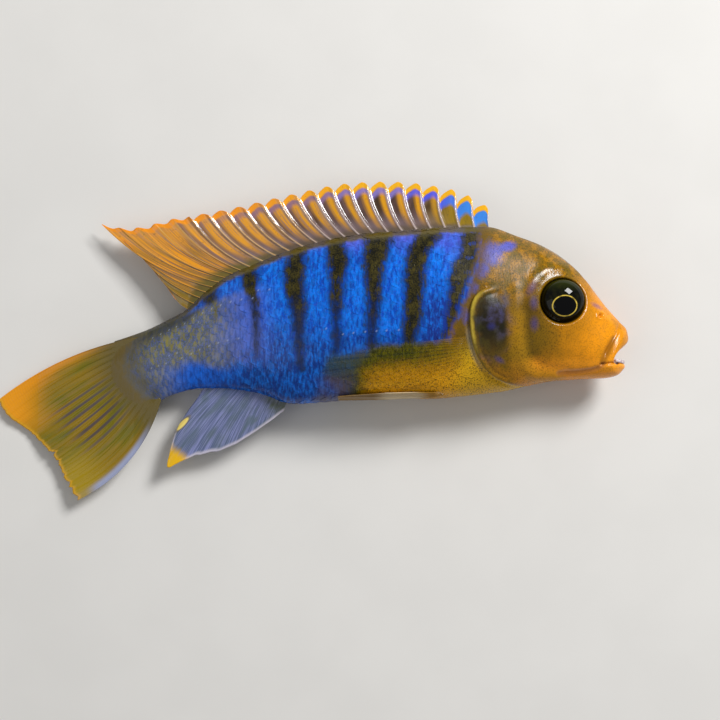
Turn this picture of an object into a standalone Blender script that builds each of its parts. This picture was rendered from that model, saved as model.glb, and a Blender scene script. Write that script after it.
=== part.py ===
# Mbuna cichlid, Metriaclima hajomaylandi, lying on its left side. Still model, life size.
# X runs from the tail to the snout, Y from the belly to the back, Z up from the floor.
import math

import bmesh
import bpy
import numpy as np
from mathutils import Matrix

MM = 0.001

# Sizes of the whole fish, mm
GAP = 0.3  # between two touching pieces
REST_LIFT = 6.45  # height of the mid-plane over the floor at the trunk
VIEW_HEIGHT = 400.0  # the outline below is as seen from this far above the mid-plane
VIEW_X = 7.67  # the point of the fish that is seen from straight above
VIEW_Y = -3.33
CENTRE_X = -0.44  # middle of the whole fish before it is moved to the origin
CENTRE_Y = -0.12
FLAT_FIN_ROOM = 0.85  # room kept between floor and flank for the fin under it

# Body rings from the lips to the scaled end of the tail, mm
# top x, top y, bottom x, bottom y, half width, backward bow of the ring's middle
RINGS = (
    (48.7, -3.05, 48.7, -3.3, 1.7, 0.8),
    (49.6, -2.7, 49.5, -3.5, 2.2, 1.6),
    (50.6, -1.8, 50.7, -3.7, 2.6, 2.2),
    (51.7, -1.0, 51.6, -4.0, 2.95, 2.5),
    (52.3, -0.2, 51.8, -4.5, 3.1, 2.4),
    (52.3, 0.75, 51.4, -5.1, 3.2, 2.1),
    (51.8, 1.9, 50.5, -5.9, 3.35, 1.6),
    (50.7, 3.25, 48.7, -6.35, 3.7, 1.1),
    (48.8, 5.35, 46.0, -6.5, 4.2, 0.6),
    (47.2, 7.4, 42.8, -6.65, 4.7, 0.2),
    (45.0, 10.25, 39.3, -6.95, 5.3, 0.0),
    (42.0, 13.2, 35.5, -7.7, 5.9, 0.2),
    (38.2, 15.6, 31.8, -8.55, 6.35, 0.8),
    (33.7, 17.35, 29.5, -8.85, 6.6, 1.4),
    (29.7, 18.75, 27.7, -9.05, 6.7, 1.7),
    (26.0, 18.8, 24.7, -9.4, 6.5, 0.8),
    (21.0, 18.7, 20.5, -9.75, 6.6, 0.2),
    (14.3, 18.2, 14.3, -9.65, 6.6, 0.0),
    (7.7, 17.6, 7.7, -9.8, 6.4, 0.0),
    (1.0, 16.4, 1.3, -10.35, 6.0, 0.0),
    (-4.8, 14.7, -4.2, -10.5, 5.4, 0.0),
    (-9.8, 12.7, -8.7, -9.0, 4.7, 0.0),
    (-14.3, 10.75, -13.2, -8.25, 3.95, 0.0),
    (-18.2, 8.0, -17.3, -8.03, 3.3, 0.1),
    (-21.2, 5.1, -20.3, -8.2, 2.85, 0.3),
    (-24.3, 3.35, -23.0, -8.95, 2.4, 0.8),
    (-27.3, 1.9, -24.8, -9.7, 1.75, 1.6),
    (-29.2, 1.15, -26.0, -10.65, 0.8, 2.9),
)
LAST_RING = len(RINGS) - 1
HEAD_END = 14.0
TRUNK_END = 22.4
RING_GAP = 0.12  # share of a ring step that leaves the gap between head and trunk

# Height of the mid-plane over the floor along the fish
MID_X = (-56.0, -46.0, -30.0, -24.0, -16.0, -8.0, 0.0, 7.0, 56.0)
MID_Z = (0.55, 1.15, 3.55, 4.1, 4.75, 5.45, 6.1, 6.45, 6.45)

# Eye, mm
EYE_X = 41.0
EYE_Y = 6.3
EYE_RADIUS = 3.62
EYE_HALF_DEPTH = 2.2
EYE_SINK = 1.15  # from the skin down to the widest part of the ball
EYE_TURN = 8.0  # degrees towards the snout

# Nostril, mm
NOSTRIL_X = 47.4
NOSTRIL_Y = 4.1
NOSTRIL_RADIUS = 0.38
NOSTRIL_DEPTH = 0.7


def mix(a, b, t):
    return a + (b - a) * t


def soft(low, high, value):
    t = np.clip((value - low) / (high - low), 0.0, 1.0)
    return t * t * (3.0 - 2.0 * t)


def curve_at(values, where):
    """A smooth curve through evenly spaced values, read at a fractional index."""
    values = np.asarray(values, float)
    where = np.clip(np.asarray(where, float), 0.0, len(values) - 1.0)
    low = np.minimum(where.astype(int), len(values) - 2)
    t = (where - low)[..., None]
    before = values[np.maximum(low - 1, 0)]
    a = values[low]
    b = values[low + 1]
    after = values[np.minimum(low + 2, len(values) - 1)]
    slope_a = (b - before) / 2.0
    slope_b = (after - a) / 2.0
    return (
        a * (2 * t**3 - 3 * t**2 + 1)
        + slope_a * (t**3 - 2 * t**2 + t)
        + b * (3 * t**2 - 2 * t**3)
        + slope_b * (t**3 - t**2)
    )


def mid_height(x):
    return np.interp(x, MID_X, MID_Z)


def widest_at(ring):
    """Where the section is widest, from -1 at the belly to 1 at the back."""
    return np.interp(ring, (0, 6, 9, 14, 20, LAST_RING), (-0.4, -0.3, 0.0, 0.0, 0.04, 0.0))


def body_point(ring, turn):
    """Body surface as x, y and distance from the mid-plane. A turn of 0 is the back, pi the belly."""
    ring, turn = np.broadcast_arrays(np.asarray(ring, float), np.asarray(turn, float))
    row = curve_at(RINGS, ring)
    level = np.cos(turn)
    side = np.sin(turn)
    peak = widest_at(ring)
    offset = (level - peak) / (1.0 - peak * level)
    fullness = np.clip(1.0 - offset**2, 0.0, 1.0)
    x = mix(row[..., 2], row[..., 0], (level + 1.0) / 2.0)
    y = mix(row[..., 3], row[..., 1], (level + 1.0) / 2.0)
    x = x - row[..., 5] * fullness
    lift = np.sign(side) * row[..., 4] * np.sqrt(fullness)
    return np.stack([x, y, lift], axis=-1)


def body_normal(ring, turn):
    step = 0.02
    along = body_point(ring + step, turn) - body_point(ring - step, turn)
    around = body_point(ring, turn + step) - body_point(ring, turn - step)
    normal = np.cross(along, around)
    length = np.linalg.norm(normal, axis=-1, keepdims=True)
    return normal / np.maximum(length, 1e-9)


SEARCH_RINGS = np.linspace(0.5, LAST_RING, 260)
SEARCH_TURNS = np.linspace(0.04, math.pi - 0.04, 120)
SEARCH_POINTS = body_point(SEARCH_RINGS[:, None], SEARCH_TURNS[None, :])


def flank(x, y):
    """Ring and turn of the side surface over the point x, y."""
    far = (SEARCH_POINTS[..., 0] - x) ** 2 + (SEARCH_POINTS[..., 1] - y) ** 2
    i, j = np.unravel_index(int(far.argmin()), far.shape)
    ring = SEARCH_RINGS[i]
    turn = SEARCH_TURNS[j]
    for _ in range(6):
        here = body_point(ring, turn)
        by_ring = (body_point(ring + 0.01, turn) - here) / 0.01
        by_turn = (body_point(ring, turn + 0.01) - here) / 0.01
        matrix = np.array([by_ring[:2], by_turn[:2]]).T
        move = np.linalg.lstsq(matrix, np.array([x, y]) - here[:2], rcond=None)[0]
        ring = float(np.clip(ring + move[0], 0.0, LAST_RING))
        turn = float(np.clip(turn + move[1], 0.02, math.pi - 0.02))
    return ring, turn


def place(points):
    """From x, y and distance from the mid-plane to the row's frame, still in mm."""
    points = np.asarray(points, float)
    height = mid_height(points[..., 0])
    spread = 1.0 + (REST_LIFT - height) / VIEW_HEIGHT
    x = VIEW_X + (points[..., 0] - VIEW_X) * spread
    y = VIEW_Y + (points[..., 1] - VIEW_Y) * spread
    z = height + points[..., 2]
    return np.stack([x - CENTRE_X, y - CENTRE_Y, z], axis=-1)


def make_object(name, points, faces, material, smooth=True):
    mesh = bpy.data.meshes.new(name)
    mesh.from_pydata([tuple(p) for p in np.asarray(points) * MM], [], faces)
    bm = bmesh.new()
    bm.from_mesh(mesh)
    bmesh.ops.recalc_face_normals(bm, faces=bm.faces)
    bm.to_mesh(mesh)
    bm.free()
    obj = bpy.data.objects.new(name, mesh)
    bpy.context.scene.collection.objects.link(obj)
    mesh.materials.append(material)
    for polygon in mesh.polygons:
        polygon.use_smooth = smooth
    return obj


def make_material(name, colour, roughness, metallic=0.0):
    material = bpy.data.materials.new(name)
    material.use_nodes = True
    shader = material.node_tree.nodes["Principled BSDF"]
    shader.inputs["Base Color"].default_value = (*colour, 1.0)
    shader.inputs["Roughness"].default_value = roughness
    shader.inputs["Metallic"].default_value = metallic
    material.diffuse_color = (*colour, 1.0)
    return material


def groove(x, y, path, width, depth):
    """A soft channel along a short path of x, y points."""
    nearest = np.full(np.shape(x), 1e9)
    for (ax, ay), (bx, by) in zip(path[:-1], path[1:]):
        dx = bx - ax
        dy = by - ay
        t = np.clip(((x - ax) * dx + (y - ay) * dy) / (dx * dx + dy * dy), 0.0, 1.0)
        nearest = np.minimum(nearest, np.hypot(x - ax - dx * t, y - ay - dy * t))
    return -depth * np.exp(-((nearest / width) ** 2))


# Lines of the head in side view, mm
PREOPERCLE = ((32.7, 9.2), (33.4, 4.2), (33.9, 0.8), (35.0, -2.0), (37.5, -3.8), (41.5, -4.6))
UPPER_LIP_EDGE = ((50.6, 3.0), (49.2, 1.5), (48.2, -0.5), (47.7, -2.7))
LOWER_LIP_EDGE = ((50.3, -5.9), (48.7, -4.7), (47.8, -3.5))
MOUTH_CORNER = ((49.8, -3.2), (48.6, -3.2), (47.5, -3.4))


def head_relief(points, ring):
    x = points[..., 0]
    y = points[..., 1]
    away = np.abs(points[..., 2])
    beside = soft(0.6, 1.8, away)
    relief = groove(x, y, PREOPERCLE, 0.7, 0.32) * beside
    relief += groove(x, y, UPPER_LIP_EDGE, 0.5, 0.34)
    relief += groove(x, y, LOWER_LIP_EDGE, 0.5, 0.3)
    relief += groove(x, y, MOUTH_CORNER, 0.35, 0.45) * beside
    relief += 0.22 * soft(12.4, 13.7, ring) * beside
    relief += 0.18 * np.exp(-(((x - 38.5) / 3.0) ** 2) - ((y + 1.5) / 2.6) ** 2) * beside
    reach = np.hypot(x - EYE_X, y - EYE_Y)
    relief += 0.3 * np.exp(-(((reach - EYE_RADIUS - 0.35) / 0.6) ** 2)) * beside
    return relief


def left_fin_room(points):
    """Keeps the left flank off the floor where the left pectoral fin lies."""
    x = points[..., 0]
    y = points[..., 1]
    z = points[..., 2]
    inside = soft(-2.5, 0.5, x) * (1.0 - soft(26.2, 27.2, x)) * (1.0 - soft(1.9, 3.4, y))
    floor_level = FLAT_FIN_ROOM * inside
    z = np.maximum(z, floor_level)
    return np.stack([x, y, z], axis=-1)


def body_piece(name, first, last, rings, around, material, relief=None):
    where = np.linspace(first, last, rings)
    turns = np.linspace(0.0, 2.0 * math.pi, around, endpoint=False)
    points = body_point(where[:, None], turns[None, :])
    if relief:
        raised = relief(points, where[:, None])
        points = points + body_normal(where[:, None], turns[None, :]) * raised[..., None]
    points = left_fin_room(place(points))
    faces = []
    for i in range(rings - 1):
        for j in range(around):
            k = (j + 1) % around
            near = i * around
            far = near + around
            faces.append((near + j, near + k, far + k, far + j))
    for i in (0, rings - 1):
        start = i * around
        for j in range(around // 2):
            a = start + j
            b = start + j + 1
            c = start + (around - j - 1) % around
            d = start + (around - j) % around
            corners = list(dict.fromkeys((a, b, c, d)))
            if len(corners) > 2:
                faces.append(corners)
    return make_object(name, points.reshape(-1, 3), faces, material)


def fin_piece(name, middle, normal, half, material):
    """A closed thin fin over a grid of points, its two faces split alike."""
    rows, columns = half.shape
    outer = place(middle + normal * half[..., None])
    inner = place(middle - normal * half[..., None])
    outer[..., 2] = np.maximum(outer[..., 2], 0.0)
    inner[..., 2] = np.maximum(inner[..., 2], 0.0)
    points = np.concatenate([outer.reshape(-1, 3), inner.reshape(-1, 3)])
    count = rows * columns
    faces = []
    for i in range(rows - 1):
        for j in range(columns - 1):
            a = i * columns + j
            b = a + 1
            c = a + columns + 1
            d = a + columns
            faces += [(a, b, c), (a, c, d)]
            faces += [(count + a, count + c, count + b), (count + a, count + d, count + c)]
    edge = [j for j in range(columns)]
    edge += [i * columns + columns - 1 for i in range(1, rows)]
    edge += [(rows - 1) * columns + j for j in range(columns - 2, -1, -1)]
    edge += [i * columns for i in range(rows - 2, 0, -1)]
    for a, b in zip(edge, edge[1:] + edge[:1]):
        faces += [(a, count + a, count + b), (a, count + b, b)]
    return make_object(name, points, faces, material)


def rayed_grid(roots, tips, bend, outward, notch, lappet):
    """Grid rows from root to tip, with a crest on each ray and its two feet beside it."""
    roots = np.asarray(roots, float)
    tips = np.asarray(tips, float)
    count = len(roots)
    position = np.add.outer(np.arange(count - 1.0), RAY_FEET).ravel()
    position = np.append(position, count - 1.0)
    base = curve_at(roots, position)
    end = curve_at(tips, position)
    phase = position - np.floor(position)
    notched = np.interp(position, range(count), notch) * np.interp(phase, (0, 0.75, 1), (0, 1, 0))
    raised = np.interp(position, range(count), lappet) * (phase > 0.1) * (phase < 0.5)
    shorten = 1.0 - notched + raised
    t = np.linspace(0.0, 1.0, outward)[:, None, None]
    chord = end - base
    side = np.stack([-chord[:, 1], chord[:, 0]], axis=-1)
    bow = np.interp(position, range(count), bend)[None, :, None]
    reach = t * shorten[None, :, None]
    grid = base[None] + chord[None] * reach + side[None] * bow * (4.0 * reach * (1.0 - reach))
    ray = np.where(phase == 0.0, 1.0, 0.0)
    return grid, ray[None, :] * np.ones((outward, 1)), t[..., 0]


def flat_fin(name, roots, tips, bend, notch, lappet, thickness, droop, material):
    """A fin that stands out from the body in its mid-plane."""
    grid, ray, t = rayed_grid(roots, tips, bend, ROWS, notch, lappet)
    root_half, edge_half, ridge = thickness
    half = mix(root_half, edge_half, t) + ridge * ray * mix(1.0, 0.35, t)
    lift = -droop * (t * np.ones_like(ray)) ** 1.6
    middle = np.concatenate([grid, lift[..., None]], axis=-1)
    normal = np.zeros_like(middle)
    normal[..., 2] = 1.0
    return fin_piece(name, middle, normal, half, material)


def side_fin(name, side, roots, tips, thickness, material):
    """A fin that lies along the flank, on the right side for 1 and the left for -1."""
    even = np.zeros(len(roots))
    grid, ray, t = rayed_grid(roots, tips, even, ROWS, even, even)
    root_half, edge_half, ridge = thickness
    half = mix(root_half, edge_half, t) + ridge * ray * mix(1.0, 0.35, t)
    middle = np.zeros(grid.shape[:2] + (3,))
    normal = np.zeros_like(middle)
    for i in range(grid.shape[0]):
        for j in range(grid.shape[1]):
            ring, turn = flank(*grid[i, j])
            up = body_normal(ring, turn)
            point = body_point(ring, turn) + up * (GAP + half[i, j] + TIP_RISE * t[i, 0])
            middle[i, j] = (point[0], point[1], side * point[2])
            normal[i, j] = (up[0], up[1], side * up[2])
    if side < 0:
        height = mid_height(middle[..., 0])
        lowest = 0.3 - height
        pressed = middle[..., 2] <= lowest
        middle[..., 2] = np.maximum(middle[..., 2], lowest)
        normal[pressed] = (0.0, 0.0, -1.0)
        half = np.where(pressed, np.minimum(half, 0.27), half)
    return fin_piece(name, middle, normal, half, material)


def root_line(rings, turns, shares, outside=1.0):
    """Points of a fin's root, clear of the edge of the body by the gap."""
    where = np.linspace(*rings, 160)
    turned = np.linspace(*turns, 160)
    points = body_point(where, turned)[:, :2]
    along = np.gradient(points, axis=0)
    outward = np.stack([along[:, 1], -along[:, 0]], axis=-1)
    outward /= np.linalg.norm(outward, axis=1, keepdims=True)
    return path_points(points + outward * outside * GAP * 1.15, shares)


def path_points(path, shares):
    """Points at given shares of a smooth path's length, or at that many even steps."""
    if isinstance(shares, int):
        shares = np.linspace(0.0, 1.0, shares)
    path = np.asarray(path, float)
    fine = curve_at(path, np.linspace(0.0, len(path) - 1.0, 400))
    length = np.concatenate([[0.0], np.cumsum(np.linalg.norm(np.diff(fine, axis=0), axis=1))])
    where = shares * length[-1]
    return np.stack([np.interp(where, length, fine[:, k]) for k in range(2)], axis=-1)


# Dorsal fin, mm
DORSAL_SPINES = 18
DORSAL_SOFT = 9
DORSAL_SPINY_ROOT = 0.76  # share of the root that carries spines
DORSAL_RINGS = (14.12, 23.9)  # body rings that the fin's root spans
DORSAL_SPINE_TIPS = (
    (29.2, 22.1),
    (24.0, 24.9),
    (15.0, 26.4),
    (5.0, 26.1),
    (-4.5, 24.1),
    (-13.0, 22.1),
    (-20.8, 20.6),
)
DORSAL_TOP_TIPS = ((-23.6, 20.2), (-26.5, 19.4), (-31.0, 18.6), (-35.4, 19.3))
DORSAL_REAR_TIPS = ((-31.6, 16.6), (-28.6, 13.6), (-26.0, 10.6), (-23.4, 7.2))
DORSAL_THICKNESS = (0.34, 0.26, 0.2)  # half, at the root, at the margin, added by a ray
DORSAL_DROOP = 0.8  # the margin hangs this far below the mid-plane

# Caudal fin, mm
CAUDAL_RAYS = 17
CAUDAL_TURNS = (0.04, 3.1)  # turns of the last ring that the fin's root spans
CAUDAL_MARGIN = (
    (-52.6, -10.0),
    (-51.0, -12.6),
    (-47.4, -15.3),
    (-43.4, -19.4),
    (-41.2, -23.8),
    (-39.3, -26.7),
)
CAUDAL_THICKNESS = (0.4, 0.26, 0.2)

# Anal fin, mm
ANAL_RAYS = 11
ANAL_RINGS = (20.05, 23.2)
ANAL_FRONT_TIPS = ((-5.0, -11.8), (-9.4, -15.0), (-14.6, -18.1), (-20.0, -19.4), (-24.5, -21.2))
ANAL_REAR_TIPS = ((-23.3, -16.0), (-21.9, -13.0), (-19.4, -9.8))
ANAL_THICKNESS = (0.34, 0.26, 0.18)
ANAL_DROOP = 0.6

# Pectoral fins, mm
PECTORAL_RAYS = 13
PECTORAL_ROOT = ((25.0, 0.6), (25.3, -1.7), (24.7, -3.9))
PECTORAL_MARGIN = (
    (17.5, -0.3),
    (9.0, -1.4),
    (3.0, -3.1),
    (1.0, -4.8),
    (5.0, -6.3),
    (12.0, -7.2),
    (19.0, -6.6),
)
PECTORAL_THICKNESS = (0.27, 0.25, 0.12)
TIP_RISE = 0.25  # a paired fin's tip stands this much further off the flank than its root

# Pelvic fins, mm
PELVIC_RAYS = 6
PELVIC_ROOT = ((21.8, -9.1), (21.0, -8.5))
PELVIC_MARGIN = ((4.0, -9.6), (3.2, -9.2), (7.0, -8.7), (12.0, -8.3))
PELVIC_THICKNESS = (0.3, 0.25, 0.12)

# Lower teeth, mm
TOOTH_COUNT = 13
TOOTH_SPREAD = 0.62  # radians to each side of the middle of the jaw
TOOTH_RINGS = (2.2, 2.95)  # body rings under the inner and outer side of the row
TOOTH_HEIGHT = 0.55
TOOTH_DIP = 0.22

# Detail of the solids
RAY_FEET = (0.0, 0.22, 0.78)  # columns to a ray, as shares of the way to the next
ROWS = 5
AROUND = 32


def clear_scene():
    for obj in list(bpy.data.objects):
        bpy.data.objects.remove(obj, do_unlink=True)


def add_eye(name, side, material, grow=0.0):
    ring, turn = flank(EYE_X, EYE_Y)
    skin = body_point(ring, turn)
    mesh = bpy.data.meshes.new(name)
    bm = bmesh.new()
    bmesh.ops.create_uvsphere(bm, u_segments=20, v_segments=12, radius=1.0)
    wide = EYE_RADIUS + grow
    deep = EYE_HALF_DEPTH + grow
    centre = place(np.array([EYE_X, EYE_Y, side * (skin[2] - EYE_SINK)]))
    turned = Matrix.Rotation(math.radians(EYE_TURN * side), 4, "Y")
    shape = Matrix.Diagonal((wide * MM, wide * MM, deep * MM, 1.0))
    bmesh.ops.transform(bm, matrix=Matrix.Translation(centre * MM) @ turned @ shape, verts=bm.verts)
    bm.to_mesh(mesh)
    bm.free()
    mesh.materials.append(material)
    for polygon in mesh.polygons:
        polygon.use_smooth = True
    obj = bpy.data.objects.new(name, mesh)
    bpy.context.scene.collection.objects.link(obj)
    return obj


def add_nostril_cutter(name, side, material):
    ring, turn = flank(NOSTRIL_X, NOSTRIL_Y)
    skin = body_point(ring, turn)
    up = body_normal(ring, turn)
    mesh = bpy.data.meshes.new(name)
    bm = bmesh.new()
    bmesh.ops.create_uvsphere(bm, u_segments=8, v_segments=6, radius=1.0)
    centre = place(np.array([skin[0], skin[1], side * skin[2]]))
    shape = Matrix.Diagonal((NOSTRIL_RADIUS * MM, NOSTRIL_RADIUS * MM, NOSTRIL_DEPTH * MM, 1.0))
    bmesh.ops.transform(bm, matrix=Matrix.Translation(centre * MM) @ shape, verts=bm.verts)
    bm.to_mesh(mesh)
    bm.free()
    mesh.materials.append(material)
    obj = bpy.data.objects.new(name, mesh)
    bpy.context.scene.collection.objects.link(obj)
    return obj


def add_lower_teeth(material):
    """A low row of teeth that follows the lower jaw inside the lips."""
    count = TOOTH_COUNT * 2 + 1
    turns = np.linspace(math.pi - TOOTH_SPREAD, math.pi + TOOTH_SPREAD, count)
    dips = np.where(np.arange(count) % 2 == 0, TOOTH_DIP, 0.0)
    inner = body_point(TOOTH_RINGS[0], turns)
    outer = body_point(TOOTH_RINGS[1], turns)
    rows = []
    for line, up in ((outer, 0.0), (outer, 1.0), (inner, 1.0), (inner, 0.0)):
        row = line.copy()
        row[:, 1] += GAP * 1.1 + up * (TOOTH_HEIGHT - dips)
        if up:
            row[:, 0] = mix(row[:, 0], (inner[:, 0] + outer[:, 0]) / 2.0, 0.45)
        rows.append(row)
    points = place(np.stack(rows))
    faces = []
    for i in range(4):
        k = (i + 1) % 4
        for j in range(count - 1):
            faces.append((i * count + j, i * count + j + 1, k * count + j + 1, k * count + j))
    for j in (0, count - 1):
        faces.append((j, count + j, 2 * count + j, 3 * count + j))
    return make_object("lower_teeth", points.reshape(-1, 3), faces, material, False)


def cut(obj, cutter):
    cutter.hide_render = True
    cutter.display_type = "WIRE"
    modifier = obj.modifiers.new("cut_" + cutter.name, "BOOLEAN")
    modifier.operation = "DIFFERENCE"
    modifier.solver = "EXACT"
    modifier.object = cutter


def build():
    clear_scene()
    head_skin = make_material("head_skin", (0.52, 0.27, 0.03), 0.35)
    flank_skin = make_material("flank_skin", (0.04, 0.12, 0.62), 0.35)
    stem_skin = make_material("stem_skin", (0.13, 0.17, 0.36), 0.35)
    dorsal_membrane = make_material("dorsal_membrane", (0.6, 0.35, 0.06), 0.4)
    caudal_membrane = make_material("caudal_membrane", (0.35, 0.25, 0.05), 0.4)
    anal_membrane = make_material("anal_membrane", (0.2, 0.25, 0.45), 0.4)
    clear_membrane = make_material("pectoral_membrane", (0.45, 0.42, 0.15), 0.4)
    pelvic_membrane = make_material("pelvic_membrane", (0.6, 0.52, 0.35), 0.4)
    eye_black = make_material("eye_glossy", (0.02, 0.02, 0.01), 0.08)

    head = body_piece("head", 0.0, HEAD_END, 42, AROUND, head_skin, head_relief)
    body_piece("trunk", HEAD_END + RING_GAP, TRUNK_END, 22, AROUND, flank_skin)
    body_piece("tail_stem", TRUNK_END + RING_GAP * 0.7, LAST_RING, 14, AROUND, stem_skin)

    for side, word in ((1, "right"), (-1, "left")):
        add_eye("eye_" + word, side, eye_black)
        cut(head, add_eye("socket_" + word, side, eye_black, GAP))
        cut(head, add_nostril_cutter("nostril_" + word, side, eye_black))

    add_lower_teeth(make_material("tooth_enamel", (0.6, 0.55, 0.5), 0.3))

    spiny_shares = np.linspace(0.0, DORSAL_SPINY_ROOT, DORSAL_SPINES)
    soft_shares = np.linspace(DORSAL_SPINY_ROOT + 0.03, 1.0, DORSAL_SOFT)
    roots = root_line(DORSAL_RINGS, (0.0, 0.0), np.concatenate([spiny_shares, soft_shares]))
    spine_tips = path_points(DORSAL_SPINE_TIPS, DORSAL_SPINES)
    top_tips = path_points(DORSAL_TOP_TIPS, DORSAL_SOFT - 4)
    tips = np.concatenate([spine_tips, top_tips, path_points(DORSAL_REAR_TIPS, 4)])
    count = len(roots)
    spiny = np.arange(count) < DORSAL_SPINES - 2
    notch = np.where(spiny, 0.11, 0.03)
    lappet = np.where(spiny, 0.035, 0.0)
    bend = np.linspace(0.02, 0.07, count)
    flat_fin(
        "dorsal_fin", roots, tips, bend, notch, lappet, DORSAL_THICKNESS, DORSAL_DROOP, dorsal_membrane
    )

    roots = root_line((LAST_RING, LAST_RING), CAUDAL_TURNS, CAUDAL_RAYS)
    tips = path_points(CAUDAL_MARGIN, CAUDAL_RAYS)
    bend = np.linspace(-0.065, 0.11, CAUDAL_RAYS)
    notch = np.full(CAUDAL_RAYS, 0.025)
    even = np.zeros(CAUDAL_RAYS)
    flat_fin("caudal_fin", roots, tips, bend, notch, even, CAUDAL_THICKNESS, 0.0, caudal_membrane)

    roots = root_line(ANAL_RINGS, (math.pi, math.pi), ANAL_RAYS, -1.0)
    front_tips = path_points(ANAL_FRONT_TIPS, ANAL_RAYS - 3)
    tips = np.concatenate([front_tips, path_points(ANAL_REAR_TIPS, 3)])
    bend = np.full(ANAL_RAYS, -0.03)
    notch = np.full(ANAL_RAYS, 0.04)
    even = np.zeros(ANAL_RAYS)
    flat_fin("anal_fin", roots, tips, bend, notch, even, ANAL_THICKNESS, ANAL_DROOP, anal_membrane)

    for side, word in ((1, "right"), (-1, "left")):
        roots = path_points(PECTORAL_ROOT, PECTORAL_RAYS)
        tips = path_points(PECTORAL_MARGIN, PECTORAL_RAYS)
        side_fin("pectoral_fin_" + word, side, roots, tips, PECTORAL_THICKNESS, clear_membrane)
        roots = path_points(PELVIC_ROOT, PELVIC_RAYS)
        tips = path_points(PELVIC_MARGIN, PELVIC_RAYS)
        side_fin("pelvic_fin_" + word, side, roots, tips, PELVIC_THICKNESS, pelvic_membrane)


build()
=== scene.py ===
# Mbuna cichlid lying on its left side: skin, scales, eyes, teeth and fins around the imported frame
import math

import bmesh
import bpy
import numpy as np
from mathutils import Matrix, Vector
from mathutils.kdtree import KDTree


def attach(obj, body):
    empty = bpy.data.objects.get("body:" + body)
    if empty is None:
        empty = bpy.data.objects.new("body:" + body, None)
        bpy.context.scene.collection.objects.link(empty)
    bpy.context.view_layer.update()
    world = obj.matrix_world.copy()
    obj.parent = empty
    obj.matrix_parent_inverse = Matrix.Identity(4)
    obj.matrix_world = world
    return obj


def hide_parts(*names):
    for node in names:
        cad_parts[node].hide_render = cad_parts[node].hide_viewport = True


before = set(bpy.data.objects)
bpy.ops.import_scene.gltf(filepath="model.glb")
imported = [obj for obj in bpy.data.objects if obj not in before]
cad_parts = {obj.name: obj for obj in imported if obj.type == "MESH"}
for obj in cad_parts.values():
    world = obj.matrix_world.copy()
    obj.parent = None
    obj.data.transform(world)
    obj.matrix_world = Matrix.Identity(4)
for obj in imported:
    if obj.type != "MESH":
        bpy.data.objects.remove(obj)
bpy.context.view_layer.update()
mm = 0.001
rng = np.random.default_rng(11)
print("frame loaded:", len(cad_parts), "nodes")

# The fish is drawn flat first, in mm: x towards the snout, y towards the back, and lift off its
# mid-plane. placed() then lays it on the floor with its tail drooping.
fishForm = {
    "restLift": 6.45,  # mid-plane over the floor at the trunk
    "viewHeight": 400.0,
    "viewAt": (7.67, -3.33),
    "centre": (-0.44, -0.12),
    "midX": (-56.0, -46.0, -30.0, -24.0, -16.0, -8.0, 0.0, 7.0, 56.0),
    "midZ": (0.55, 1.15, 3.55, 4.1, 4.75, 5.45, 6.1, 6.45, 6.45),
    "coatRoom": 0.14,  # kept between floor and skin for the scales
    "finRoom": 0.9,  # kept between floor and flank for the fin under it
    "finUnder": ((-2.5, 0.5), (26.2, 27.2), (1.9, 3.4)),  # its rear and front end in x, its top in y
    "webRoom": 0.03,  # kept between floor and fins
    # back x, back y, belly x, belly y, half width, bow of the ring's middle towards the tail
    "rings": (
        (48.7, -3.05, 48.7, -3.3, 1.7, 0.8),
        (49.6, -2.7, 49.5, -3.5, 2.2, 1.6),
        (50.6, -1.8, 50.7, -3.7, 2.6, 2.2),
        (51.7, -1.0, 51.6, -4.0, 2.95, 2.5),
        (52.3, -0.2, 51.8, -4.5, 3.1, 2.4),
        (52.3, 0.75, 51.4, -5.1, 3.2, 2.1),
        (51.8, 1.9, 50.5, -5.9, 3.35, 1.6),
        (50.7, 3.25, 48.7, -6.35, 3.7, 1.1),
        (48.8, 5.35, 46.0, -6.5, 4.2, 0.6),
        (47.2, 7.4, 42.8, -6.65, 4.7, 0.2),
        (45.0, 10.25, 39.3, -6.95, 5.3, 0.0),
        (42.0, 13.2, 35.5, -7.7, 5.9, 0.2),
        (38.2, 15.6, 31.8, -8.55, 6.35, 0.8),
        (33.7, 17.35, 29.5, -8.85, 6.6, 1.4),
        (29.7, 18.75, 27.7, -9.05, 6.7, 1.7),
        (26.0, 18.8, 24.7, -9.4, 6.5, 0.8),
        (21.0, 18.7, 20.5, -9.75, 6.6, 0.2),
        (14.3, 18.2, 14.3, -9.65, 6.6, 0.0),
        (7.7, 17.6, 7.7, -9.8, 6.4, 0.0),
        (1.0, 16.4, 1.3, -10.35, 6.0, 0.0),
        (-4.8, 14.7, -4.2, -10.5, 5.4, 0.0),
        (-9.8, 12.7, -8.7, -9.0, 4.7, 0.0),
        (-14.3, 10.75, -13.2, -8.25, 3.95, 0.0),
        (-18.2, 8.0, -17.3, -8.03, 3.3, 0.1),
        (-21.2, 5.1, -20.3, -8.2, 2.85, 0.3),
        (-24.3, 3.35, -23.0, -8.95, 2.4, 0.8),
        (-27.3, 1.9, -24.8, -9.7, 1.75, 1.6),
        (-29.2, 1.15, -26.0, -10.65, 0.8, 2.9),
        (-31.2, 0.45, -26.6, -12.2, 0.42, 3.3),
        (-33.2, -0.2, -27.4, -13.8, 0.02, 3.7),
    ),
    "stemEnd": 27,  # the last ring of the tail stem; the two after it lie over the tail fin's root
    # where each ring is widest, from -1 at the belly to 1 at the back
    "widest": ((0, -0.4), (6, -0.3), (9, 0.0), (14, 0.0), (20, 0.04), (27, 0.0)),
}
lastRing = len(fishForm["rings"]) - 1


def mix(a, b, t):
    return a + (b - a) * t


def soft(low, high, value):
    t = np.clip((value - low) / (high - low), 0.0, 1.0)
    return t * t * (3.0 - 2.0 * t)


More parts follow.
